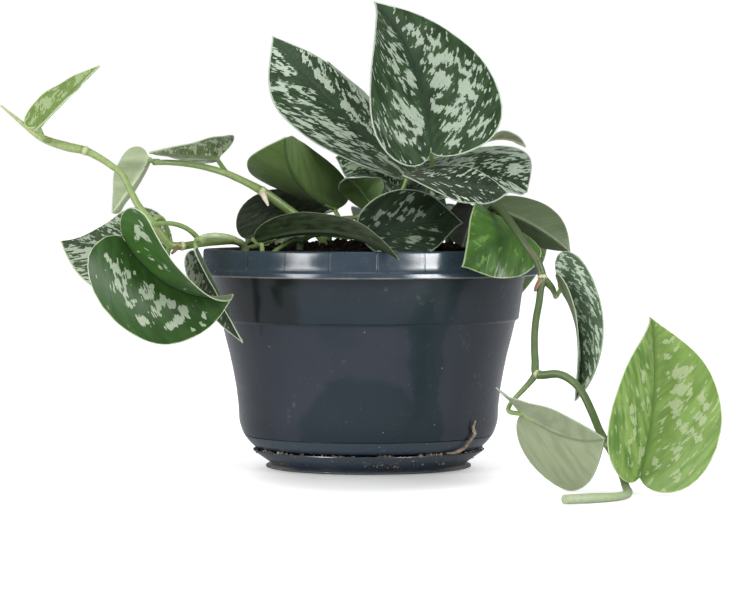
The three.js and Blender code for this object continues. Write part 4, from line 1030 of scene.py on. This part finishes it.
def back_group():
    """The underside: an even pale or dark green with faint side veins, midrib and mottling."""
    tree, net, given = make_group("blade_back", dict(
        Base="7c8d62", Shade="6a7c52", Vein="8fa078", Edge="aebc9a", Lines=0.5, Seed=0.0))
    a, b, side, rim = vein_place(net)
    seed = net.line(side, HALF_SHIFT, given["Seed"])
    place = net.join(net.plus(a, seed), net.line(b, 0.6, seed))
    mottle = net.noise(place, 1.3, 3.0, 0.55, flat=True)
    color = net.mix(net.span(mottle, 0.3, 0.7), given["Shade"], given["Base"])
    bend = net.noise(place, 1.1, 1.0, 0.5, flat=True)
    wave = net.math("COSINE", net.line(bend, 5.0, net.times(a, 9.5)))
    line = net.times(net.span(wave, 0.93, 1.0), given["Lines"])
    fine_wave = net.math("COSINE", net.line(bend, 9.0, net.times(a, 31.0)))
    line = net.line(net.span(fine_wave, 0.6, 1.0, 0.0, 0.3), given["Lines"], line)
    rib = net.span(b, 0.04, 0.15, 1.0, 0.0)
    line = net.math("MAXIMUM", line, net.times(rib, 0.8))
    line = net.math("MINIMUM", line, 1.0)
    color = net.mix(line, color, given["Vein"])
    color = net.mix(net.span(rim, 0.03, 0.06, 0.9, 0.0), color, given["Edge"])
    grain = net.noise(place, 18.0, 2.0, 0.6, flat=True)
    rough = net.span(mottle, 0.2, 0.8, 0.42, 0.56)
    height = net.line(grain, 0.16, mottle)
    height = net.line(line, 0.35, height)
    return finish_group(tree, color, rough, height)


def stalk_group():
    """Stems: the skin colour with lengthways streaks, a pale ring at each node and a scar by it."""
    tree, net, given = make_group("stalk_skin", dict(Ring="c3cda0", Scar="7a6a44", Streaks=0.35,
                                                     Grime=0.25))
    near = net.attribute("ring", "Fac")
    where = net.place()
    streak = net.noise(where, 420.0, 3.0, 0.6)
    broad = net.noise(where, 70.0, 2.0, 0.5)
    skin = net.attribute("skin", "Color")
    dark = net.mix(0.55, skin, tone(STREAK_TONE))
    streaks = net.times(net.span(streak, 0.42, 0.7), given["Streaks"])
    color = net.mix(streaks, skin, dark)
    grime = net.times(net.span(broad, 0.55, 0.75), given["Grime"])
    color = net.mix(grime, color, given["Scar"])
    away = net.size(near)
    ring = net.span(away, 0.05, 0.14, 0.75, 0.0)
    scar = net.times(net.span(away, 0.12, 0.17), net.span(away, 0.22, 0.3, 1.0, 0.0))
    color = net.mix(ring, color, given["Ring"])
    color = net.mix(net.times(scar, 0.5), color, given["Scar"])
    rough = net.span(broad, 0.3, 0.7, 0.36, 0.5)
    height = net.line(broad, 1.5, streak)
    return finish_group(tree, color, rough, height)


# Spans of height in metres in which the plastic changes, from the foot to the rim.
SOLE = (0.0014, 0.0019)
PALE_FOOT = (0.0168, 0.0174)
FOOT_GROOVE = (0.017, 0.0175)
BODY_STEP = (0.0775, 0.0795)
UPPER_BAND = (0.079, 0.0795)
RIM_LIP = (0.1031, 0.1036)
# painted highlight along the lip's lower bead
BEAD_HIGHLIGHT = (0.1045, 0.1042)
RIM_SEAMS = (0.1065, 0.1075)
FRONT = (-0.02, 0.0)  # the span of y in which the front passes into the back
# Places on the front in metres, and how wide and high the dome is.
# The dome and the strip are dark areas that the painted reflection leaves out.
DOME_X, DOME_Z = -0.004, 0.018
DOME_WIDE, DOME_HIGH = 0.031, 0.034
STRIP_X = 0.03
DARK_REFLECTION_X = -0.053
SEAM_STEP = 16  # degrees from seam to seam
SEAM_START = 3  # degrees from the front to the first
# painted dark reflection on the upper band
DARK_REFLECTION_TONE = "0e1616"
# painted shade on the pot's sides
SIDE_SHADE_TONE = "14181b"
FOOT_TONE = "3c4753"
# painted light on the saucer's sole at its far left and far right
LIT_SOLE_TONE = "948881"
SEAM_TONE = "10161b"


def painted_reflection_share(net, x, z, y_place, z_place, cloud, haze):
    """How much painted paler reflection there is: x and z are uneven, and y_place and z_place true.

    It lies between the foot's groove and the upper band. At the front it leaves out a dome near
    the middle and an upright strip to the right of the dome.
    """
    across = net.math("DIVIDE", net.minus(x, DOME_X), DOME_WIDE)
    up = net.math("DIVIDE", net.minus(z, DOME_Z), DOME_HIGH)
    dome = net.span(net.plus(net.times(across, across), net.times(up, up)), 0.86, 1.14)
    strip = net.span(net.size(net.minus(x, STRIP_X)), 0.0065, 0.0095)
    pale = net.math("MAXIMUM", net.times(dome, strip), net.span(y_place, *FRONT))
    body = net.times(net.span(z_place, *BODY_STEP, 1.0, 0.25), net.span(z_place, *FOOT_GROOVE))
    share = net.times(net.times(pale, body), net.span(cloud, 0.34, 0.42, 0.45, 1.0))
    return net.times(share, net.span(haze, 0.2, 0.7, 0.8, 1.0))


def speck_share(net, where, z):
    """Round specks in small cells, more of them near the foot and where something has dripped."""
    dot = net.cells(where, CELLS, "Distance")
    pick = net.node("SeparateColor", {0: net.cells(where, CELLS, "Color")}).outputs[0]
    drip = net.noise(net.stretch(where, (1.0, 1.0, 0.16)), 85.0, 1.0, 0.5)
    chance = net.minus(0.998, net.span(z, 0.02, 0.1, 0.008, 0.0))
    chance = net.minus(chance, net.span(drip, 0.6, 0.74, 0.0, 0.06))
    return net.times(net.math("GREATER_THAN", pick, chance), net.span(dot, 0.13, 0.24, 1.0, 0.0))


def seam_share(net, x, y):
    """Thin upright lines, evenly spaced round the Z axis."""
    angle = net.math("ARCTAN2", x, net.times(y, -1.0))
    turn = net.line(angle, 180 / SEAM_STEP / math.pi, 10.5 - SEAM_START / SEAM_STEP)
    cycle = net.math("FRACT", turn)
    return net.span(net.size(net.minus(cycle, 0.5)), 0.008, 0.02, 1.0, 0.0)


def plastic_group():
    """Moulded dark plastic with a cloudy painted reflection, scuffs, dust specks and a soil stain.

    Seams is 1 on the pot, which also has a painted dark reflection on its upper band, painted
    shade on its left and right sides, a pale band above the foot's groove, a bluer lip with a
    painted highlight along its lower bead, and the seams of its rim. Sole is how pale painted
    light makes the saucer's sole at its far left and far right, and Foot how high the stain reaches.
    """
    tree, net, given = make_group("pot_plastic", dict(
        Base="1c2a31", ReflectionTone="2d323d", DustAndHighlight="a3a299", Soil="4c443a", Lip="3b4955",
        Specks=0.55, Foot=0.016, Seams=0.0, LitSole=0.0))
    where = net.place()
    x, y, z = net.parts(where)
    cloud = net.noise(net.stretch(where, (1.0, 1.0, 0.45)), 22.0, 1.5, 0.45, warp=0.3)
    haze = net.noise(where, 60.0, 3.0, 0.6)
    fine = net.noise(where, 240.0, 3.0, 0.6)
    wavy_x = net.line(net.noise(where, 55.0, 2.0, 0.5), 0.02, net.minus(x, 0.01))
    wavy_z = net.line(net.noise(where, 48.0, 2.0, 0.5), 0.02, net.minus(z, 0.01))
    # Painted reflection: Cloud over the body, left out in the dome and the strip at the front.
    share = painted_reflection_share(net, wavy_x, wavy_z, y, z, cloud, haze)
    color = net.mix(share, given["Base"], given["ReflectionTone"])
    # Painted dark reflection: a dark patch on the upper band, left of the front.
    patch = net.span(net.size(net.minus(wavy_x, DARK_REFLECTION_X)), 0.012, 0.02, 1.0, 0.0)
    patch = net.times(patch, net.times(net.span(z, *UPPER_BAND), net.span(y, *FRONT, 1.0, 0.0)))
    color = net.mix(net.times(patch, net.times(given["Seams"], 0.8)), color, tone(DARK_REFLECTION_TONE))
    # Painted shade: the pot darker towards its left and right sides.
    side_shade = net.span(net.size(x), 0.034, 0.06, 0.0, 0.4)
    color = net.mix(net.times(side_shade, given["Seams"]), color, tone(SIDE_SHADE_TONE))
    pale_foot = net.span(z, *PALE_FOOT, 0.75, 0.0)
    color = net.mix(net.times(pale_foot, given["Seams"]), color, tone(FOOT_TONE))
    lip = net.times(net.span(z, *RIM_LIP), given["Seams"])
    color = net.mix(net.times(lip, 0.6), color, given["Lip"])
    # Painted highlight: a pale line in the Dust colour along the bead at the lip's foot.
    bead_highlight = net.times(net.span(z, *BEAD_HIGHLIGHT), net.span(haze, 0.25, 0.6, 0.12, 0.4))
    color = net.mix(net.times(bead_highlight, lip), color, given["DustAndHighlight"])
    # Painted light: the saucer's sole paler at its far left and far right, its front being in shade.
    lit_ends = net.times(net.span(net.size(x), 0.036, 0.046), net.span(z, *SOLE, 1.0, 0.0))
    color = net.mix(net.times(lit_ends, given["LitSole"]), color, tone(LIT_SOLE_TONE))
    scuff = net.times(net.span(haze, 0.62, 0.8), net.span(fine, 0.45, 0.7, 0.0, 0.16))
    color = net.mix(scuff, color, given["DustAndHighlight"])
    speck = net.times(speck_share(net, where, z), given["Specks"])
    color = net.mix(speck, color, given["DustAndHighlight"])
    foot = net.span(z, 0.001, given["Foot"], 1.0, 0.0)
    stain = net.span(net.line(foot, 0.4, net.noise(where, 130.0, 3.0, 0.65)), 0.72, 0.9)
    color = net.mix(net.times(stain, 0.75), color, given["Soil"])
    seam = net.times(seam_share(net, x, y), net.times(net.span(z, *RIM_SEAMS), given["Seams"]))
    color = net.mix(net.times(seam, 0.45), color, tone(SEAM_TONE))
    dirt = net.math("MAXIMUM", speck, stain)
    rough = net.line(dirt, 0.4, net.span(haze, 0.3, 0.7, 0.17, 0.25))
    rough = net.line(net.span(fine, 0.45, 0.8), 0.06, rough)
    height = net.line(fine, 0.12, net.times(cloud, 0.8))
    height = net.line(dirt, 0.5, height)
    height = net.line(seam, -0.8, height)
    return finish_group(tree, color, rough, height)


def earth_group():
    """Potting soil and crumbs: browns in grains, with pale bits and, by Own, redder areas."""
    tree, net, given = make_group("earth_grains", dict(
        Dark="1d1712", Mid="3a2d22", Pale="8c7f6a", Red="4a2f22", Bits=0.3, Own=0.0))
    where = net.place()
    grain = net.noise(where, 380.0, 4.0, 0.65)
    broad = net.noise(where, 90.0, 2.0, 0.5)
    color = net.mix(net.span(grain, 0.35, 0.65), given["Dark"], given["Mid"])
    color = net.mix(net.span(broad, 0.45, 0.7, 0.0, 0.4), color, given["Mid"])
    pick = net.node("SeparateColor", {0: net.cells(where, CELLS, "Color")}).outputs[1]
    bit = net.times(net.math("GREATER_THAN", pick, 0.9), given["Bits"])
    color = net.mix(bit, color, given["Pale"])
    own = net.span(net.noise(where, 150.0, 0.0, 0.5), 0.3, 0.7)
    color = net.mix(net.times(own, given["Own"]), color, given["Red"])
    rough = net.span(grain, 0.3, 0.7, 0.8, 0.95)
    return finish_group(tree, color, rough, net.line(broad, 1.5, grain))


GROUPS = {
    "satin": satin_group(),
    "back": back_group(),
    "stalk": stalk_group(),
    "plastic": plastic_group(),
    "earth": earth_group(),
}


def finish_material(name, group, values, depth, specular, sheen=0.0):
    """A material of one Principled shader whose colour, roughness and bump come from a group.

    depth is the height, in mm, that the group's Height of 1 stands for.
    """
    material = bpy.data.materials.new(name)
    material.use_nodes = True
    tree = material.node_tree
    tree.nodes.clear()
    net = Net(tree)
    made = tree.nodes.new("ShaderNodeGroup")
    made.node_tree = GROUPS[group]
    for key, value in values.items():
        made.inputs[key].default_value = tone(value) if isinstance(value, str) else value
    relief = {"Height": made.outputs["Height"], "Distance": depth * MM, "Strength": 1.0}
    bump = net.node("Bump", relief)
    shader = net.node("BsdfPrincipled", {
        "Base Color": made.outputs["Color"], "Roughness": made.outputs["Roughness"],
        "Normal": bump.outputs[0], "Specular IOR Level": specular, "Sheen Weight": sheen,
        "Sheen Roughness": 0.4})
    out = tree.nodes.new("ShaderNodeOutputMaterial")
    tree.links.new(shader.outputs[0], out.inputs["Surface"])
    return material


# ------------------------------------------------------------------ pot, saucer and soil
# Each profile is a list of [radius, height]: the pot's wall goes up the outside, over the rim and
# down the inside.
POT_GLOSS = 0.45
POT_TURNS = 224
OUTSIDE = [
    [0, 2.3], [46, 2.3], [48.2, 3.4], [49, 4.2], [53, 7.2], [57, 10], [57.6, 10.2], [60.2, 10.6],
    [61.4, 11.1], [62.4, 12], [64.6, 14.2], [66.3, 16.4], [66.85, 17.2], [66.7, 17.35],
    [66.85, 17.55], [67.3, 17.75], [67.6, 18.4], [68.6, 20.8], [69.4, 23.4], [69.9, 26], [70.3, 34],
    [71.4, 43], [73.2, 53], [75, 61.5], [77.2, 70], [79.1, 78.2], [79.3, 78.7], [79.8, 79.4],
    [80.9, 80], [81.2, 80.8], [82.4, 90], [84.2, 102.5], [84.5, 113.6], [84.7, 114.5],
]
RIM = [
    [86.9, 114.5], [87.1, 114], [89.1, 104.2], [89.4, 103.6], [90.7, 103.5], [91.1, 103.7],
    [91.2, 104.1], [91.05, 104.6], [91, 105.9], [90.8, 106.5], [90.2, 107.1], [89.9, 107.6],
    [89.5, 110], [89.3, 112], [89.1, 116.6], [88.9, 117.2], [88.4, 117.6],
]
INSIDE = [
    [83.6, 117.6], [83, 117.4], [82.7, 116.8], [82.5, 110], [82.3, 103.5], [77.4, 78.4], [69.6, 43],
    [68, 26], [64.6, 17], [60.8, 13.2], [56.4, 12.2], [47.6, 6], [45.2, 4.1], [0, 4.1],
]
SAUCER = [
    [0, 0], [54.9, 0], [55.4, 0.2], [55.5, 0.5], [55.4, 1], [55.1, 1.25], [52.7, 1.5], [52.4, 1.8],
    [53.2, 2.7], [58, 6], [62.2, 9], [62.5, 9.3], [62.4, 9.7], [62, 9.8], [61, 9.8], [60.5, 9.6],
    [51.6, 3.2], [50, 2], [0, 2],
]
SOIL_EDGE = 112.0
SOIL_RADIUS = 81.9
SOIL_TURNS = 260
SOIL_RINGS = 90
SOIL_BED = [
    [0, 4.7], [45, 4.7], [47.2, 6.5], [56, 12.7], [60.4, 13.7], [64.1, 17.2], [67.5, 26],
    [69.1, 43], [76.9, 78.4], [81.8, 103.5], [SOIL_RADIUS, SOIL_EDGE],
]
CRUMBS = 1500


def turned_shape(profile):
    """The profile turned round the Z axis, as a shape."""
    points, faces = turned(profile, POT_TURNS)
    return Shape().add(points, faces)


def mound_height(share):
    """The mound's height at a share of its radius, without its lumps."""
    return SOIL_EDGE + 5.2 * (1 - share ** 2) + 3.4 * (1 - share ** 6)


def soil_mound():
    """A bed that follows the pot's inside, under a mound of lumpy soil with a grainy surface."""
    top = np.linspace(1, 0, SOIL_RINGS + 1)[1:]
    radius = SOIL_RADIUS * np.sin(top * np.pi / 2) ** 0.9
    mound = mound_height(radius / SOIL_RADIUS)
    profile = np.concatenate([SOIL_BED, np.stack([radius, mound], -1)])
    profile[-1, 0] = 0
    points, faces = turned(profile, SOIL_TURNS)
    high = np.repeat(np.arange(len(profile)) >= len(SOIL_BED), SOIL_TURNS)
    edge = np.clip((SOIL_RADIUS - np.hypot(points[:, 0], points[:, 1])) / 6, 0, 1)
    plan = points[:, :2]
    bump = 0.8 * noise(plan / 16, 1) + 0.55 * noise(plan / 5, 2, 11)
    bump = bump + 0.35 * np.abs(noise(plan / 2, 3, 13))
    points[:, 2] += np.where(high, bump * edge, 0)
    return Shape().add(points, faces)


def ground_height(x, y):
    """The mound's height at a place, with its lumps but without its grain."""
    r = np.minimum(np.hypot(x, y) / SOIL_RADIUS, 1)
    bump = 0.8 * noise(np.stack([x, y], -1) / 16, 1) * np.clip((1 - r) * 13, 0, 1)
    return mound_height(r) + bump


def ball():
    """An icosahedron: 20 triangles, with its 12 corners at a distance of 1."""
    g = (1 + 5 ** 0.5) / 2
    corners = unit(np.array([
        (-1, g, 0), (1, g, 0), (-1, -g, 0), (1, -g, 0), (0, -1, g), (0, 1, g),
        (0, -1, -g), (0, 1, -g), (g, 0, -1), (g, 0, 1), (-g, 0, -1), (-g, 0, 1)], float))
    faces = np.array([
        (0, 11, 5), (0, 5, 1), (0, 1, 7), (0, 7, 10), (0, 10, 11), (1, 5, 9), (5, 11, 4),
        (11, 10, 2), (10, 7, 6), (7, 1, 8), (3, 9, 4), (3, 4, 2), (3, 2, 6), (3, 6, 8),
        (3, 8, 9), (4, 9, 5), (2, 4, 11), (6, 2, 10), (8, 6, 7), (9, 8, 1)])
    return corners, faces


def fill_crumbs(shape, centres, sizes, seed):
    """A small uneven lump at each centre: a ball stretched differently along its three axes."""
    draw = np.random.default_rng(seed)
    corners, faces = ball()
    count = len(centres)
    stretch = draw.uniform(0.55, 1.45, (count, 1, 3))
    stretch = stretch * draw.uniform(0.75, 1.25, (count, len(corners), 1))
    points = centres[:, None] + corners[None] * stretch * sizes[:, None, None]
    index = faces[None] + len(corners) * np.arange(count)[:, None, None]
    return shape.add(points.reshape(-1, 3), index.reshape(-1, 3))


def on_circle(angle, radius, height):
    """Points round the Z axis; an angle of 0 is the front and a quarter turn on is the right."""
    a = np.radians(angle)
    return np.stack([radius * np.sin(a), -radius * np.cos(a), height + 0 * a], -1)


def soil_crumbs():
    """Crumbs strewn over the mound, more of them small than large."""
    draw = np.random.default_rng(21)
    radius = 79.5 * np.sqrt(draw.uniform(0, 1, CRUMBS))
    turn = draw.uniform(0, 2 * np.pi, CRUMBS)
    x, y = radius * np.cos(turn), radius * np.sin(turn)
    size = 0.45 + 1.5 * draw.uniform(0, 1, CRUMBS) ** 4
    centres = np.stack([x, y, ground_height(x, y) + 0.25 + 0.25 * size], -1)
    return fill_crumbs(Shape(), centres, size, 22)


def ledge_crumbs():
    """Dried soil along the saucer's ledge and in its gap, thicker in a few clumps."""
    draw = np.random.default_rng(31)
    shape = Shape()
    clumps = np.array([27.0, 33, 40, -46, -14, -62, 62, 8, 150, -150, 100, -110, 180])
    angle = draw.choice(clumps, 300) + draw.normal(0, 3.6, 300)
    angle = np.concatenate([angle, draw.uniform(-180, 180, 110)])
    size = 0.2 + 0.75 * draw.uniform(0, 1, len(angle)) ** 3
    spots = on_circle(angle, 61.2 + draw.uniform(-0.6, 0.8, len(angle)), 9.75 + 0.4 * size)
    fill_crumbs(shape, spots, size, 32)
    low = np.concatenate([draw.normal(9, 5, 26), draw.uniform(-180, 180, 70)])
    size = 0.3 + 0.6 * draw.uniform(0, 1, len(low)) ** 2
    slope = draw.uniform(0.15, 0.85, len(low))
    spots = on_circle(low, 53.2 + 8.6 * slope, 2.8 + 6.1 * slope)
    return fill_crumbs(shape, spots, size, 33)


def dried_root():
    """A dead knobbly root that hangs down the foot of the wall and lies along the ledge."""
    rows = [
        (52, 71.6, 27.5, 0.45), (51.2, 70.9, 23.6, 0.8), (53, 70.4, 21, 1.05),
        (52.6, 69.4, 18.6, 0.7), (51, 68, 16, 1.0), (50.4, 65.6, 13, 0.8),
        (47.5, 63.6, 11.2, 1.05), (44.5, 62.8, 10.7, 0.7), (41, 62.6, 10.7, 0.45),
    ]
    knots = [(*on_circle(angle, out, height), radius) for angle, out, height, radius in rows]
    path = smooth_path(knots, 0.8)
    points, faces = tube(path[:, :3], path[:, 3], 8)
    return Shape().add(points, faces)


# ------------------------------------------------------------------ stage
SKY = 0.85  # how bright the even light is
ROOM = (0.12, 0.125, 0.13, 1)  # what shiny things see of the world
FLOOR_SIZE = 14.0
FLOOR_LEVEL = -0.00005
FLOOR_TONE = (0.9, 0.9, 0.9, 1)
FLOOR_GLOW = 0.45
SHADE_TONE = (0.74, 0.74, 0.745, 1)
SHINY_FLOOR = (0.5, 0.51, 0.53, 1)  # what shiny things see of the floor
WHITE = (1.0, 1.0, 1.0, 1)


def make_floor():
    """A wide pale floor with a soft shade in front of the pot.

    Shiny things see it darker, as they would past the edge of a table.
    """
    mesh = bpy.data.meshes.new("floor")
    signs = [(-1, -1), (1, -1), (1, 1), (-1, 1)]
    corners = [(x * FLOOR_SIZE, y * FLOOR_SIZE, FLOOR_LEVEL) for x, y in signs]
    mesh.from_pydata(corners, [], [(0, 1, 2, 3)])
    floor = bpy.data.objects.new("floor", mesh)
    bpy.context.collection.objects.link(floor)
    material = bpy.data.materials.new("floor")
    material.use_nodes = True
    tree = material.node_tree
    tree.nodes.clear()
    net = Net(tree)
    path = tree.nodes.new("ShaderNodeLightPath")
    seen = path.outputs["Is Camera Ray"]
    x, y, _ = net.parts(net.place())
    wide = net.math("DIVIDE", x, 0.078)
    deep = net.math("DIVIDE", net.plus(y, 0.075), 0.12)
    far = net.plus(net.times(wide, wide), net.times(deep, deep))
    shade = net.span(far, 0.1, 1.1, 1.0, 0.0)
    plain = net.mix(net.times(shade, seen), FLOOR_TONE, SHADE_TONE)
    color = net.mix(path.outputs["Is Glossy Ray"], plain, SHINY_FLOOR)
    shader = net.node("BsdfDiffuse", {"Color": color})
    power = net.times(net.minus(1.0, shade), FLOOR_GLOW)
    glow = net.node("Emission", {"Color": WHITE, "Strength": net.times(seen, power)})
    both = net.node("AddShader", {0: shader.outputs[0], 1: glow.outputs[0]})
    out = tree.nodes.new("ShaderNodeOutputMaterial")
    tree.links.new(both.outputs[0], out.inputs["Surface"])
    mesh.materials.append(material)


def make_world():
    """White to the camera, a soft even light, and a dim room to shiny things."""
    world = bpy.data.worlds.new("studio")
    world.use_nodes = True
    tree = world.node_tree
    tree.nodes.clear()
    net = Net(tree)
    path = tree.nodes.new("ShaderNodeLightPath")
    light = net.mix(path.outputs["Is Glossy Ray"], (SKY, SKY, SKY, 1), ROOM)
    color = net.mix(path.outputs["Is Camera Ray"], light, WHITE)
    back = net.node("Background", {"Color": color, "Strength": 1.0})
    out = tree.nodes.new("ShaderNodeOutputWorld")
    tree.links.new(back.outputs[0], out.inputs["Surface"])
    bpy.context.scene.world = world


# Azimuth, elevation, distance, width, height and power of each lamp, and whether it is a gleam.
LAMPS = {
    "left_box": (-49, 23, 1.5, 0.72, 0.42, 8, False),
    "right_box": (42, 21, 1.5, 0.74, 0.4, 8, False),
    "top_box": (10, 72, 1.6, 0.9, 0.9, 3, False),
    "left_gleam": (-46.5, 11.5, 1.5, 0.34, 0.52, 9, True),
    "right_gleam": (41, 11.5, 1.5, 0.5, 0.52, 19, True),
}


def make_lamp(name, azimuth, elevation, distance, width, height, power, gleam):
    """A soft box that faces the plant; an azimuth of 0 is the camera's side.

    A gleam lights nothing and is seen only as a reflection in shiny things.
    """
    data = bpy.data.lights.new(name, "AREA")
    data.shape = "RECTANGLE"
    data.size = width
    data.size_y = height
    data.energy = power
    lamp = bpy.data.objects.new(name, data)
    lamp.visible_diffuse = not gleam
    a, e = math.radians(azimuth), math.radians(elevation)
    way = Vector((math.sin(a) * math.cos(e), -math.cos(a) * math.cos(e), math.sin(e)))
    lamp.location = Vector((0, 0, 0.1)) + way * distance
    lamp.rotation_mode = "QUATERNION"
    lamp.rotation_quaternion = way.to_track_quat("Z", "Y")
    bpy.context.collection.objects.link(lamp)


# ------------------------------------------------------------------ build
WIDTHS = {"blade": 3, "marks": 1, "skin": 4, "ring": 1}  # values of each mesh attribute
SKIN_DEPTH = 0.12  # relief of stems and plastic in mm
BACK_DEPTH = 0.3
BACK_GLOSS = 0.28
STALK_GLOSS = 0.4
SHEEN = 0.05


def leaf_materials(leaf, stalk_skin):
    """The materials of a leaf's face, its underside and its piece of petiole."""
    look = {**COMMON, **LOOKS.get(leaf.name, {})}
    upper = {key: look[key] for key in UPPER_KEYS}
    upper["Marked"] = float(leaf.name in MARKS)
    upper["Seed"] = leaf.seed * 2.3
    face = finish_material(leaf.name + "_face", "satin", upper, look["depth"], look["gloss"], SHEEN)
    if look["both"]:
        return [face, face, stalk_skin]
    base, shade, vein = look["back"]
    back = dict(Base=base, Shade=shade, Vein=vein, Edge=look["back_edge"], Lines=look["lines"],
                Seed=leaf.seed * 1.7)
    under = finish_material(leaf.name + "_back", "back", back, BACK_DEPTH, BACK_GLOSS, SHEEN)
    return [face, under, stalk_skin]


make_camera()
make_world()
make_floor()
for name, values in LAMPS.items():
    make_lamp(name, *values)

stalk_skin = finish_material("stem_skin", "stalk", {}, SKIN_DEPTH, STALK_GLOSS)
leaves = {name: Leaf(name, spec) for name, spec in LEAVES.items()}
for name, leaf in leaves.items():
    materials = leaf_materials(leaf, stalk_skin)
    make_piece(name + "_blade", leaf.fill(Shape()), WIDTHS, materials, [name])
for spec in STEMS:
    name = spec["name"]
    shape = fill_stem(Shape(), spec, leaves)
    make_piece(name + "_stem", shape, WIDTHS, [stalk_skin], [name])

saucer_look = dict(Base="38424c", ReflectionTone="454b4e", Foot=0.0011, Specks=0.9, LitSole=0.6)
earth_look = dict(Dark="0d0a08", Mid="1c1510", Pale="6a5d4b", Red="2a1b13", Bits=0.12)
dust_look = dict(Dark="5c5347", Mid="9c9384", Pale="ddd8cb", Bits=0.5, Own=0.7)
root_look = dict(Dark="6b5d4e", Mid="a1937f", Pale="d6ccb9", Bits=0.6)
plastic = finish_material("pot_plastic", "plastic", {"Seams": 1.0}, SKIN_DEPTH, POT_GLOSS)
saucer = finish_material("saucer_plastic", "plastic", saucer_look, SKIN_DEPTH, POT_GLOSS)
earth = finish_material("soil_grains", "earth", earth_look, 0.9, 0.1)
dust = finish_material("dried_soil", "earth", dust_look, 0.5, 0.2)
root = finish_material("dried_root", "earth", root_look, 0.5, 0.2)
make_piece("pot_wall", turned_shape(OUTSIDE + RIM + INSIDE), {}, [plastic], ["pot"], 40)
make_piece("saucer_dish", turned_shape(SAUCER), {}, [saucer], ["saucer"], 40)
make_piece("soil_mound", soil_mound(), {}, [earth], ["soil"], 180)
make_piece("soil_crumbs", soil_crumbs(), {}, [earth], (), 20)
make_piece("ledge_crumbs", ledge_crumbs(), {}, [dust], (), 20)
make_piece("dried_root", dried_root(), {}, [root])

scene = bpy.context.scene
scene.view_settings.view_transform = "Standard"
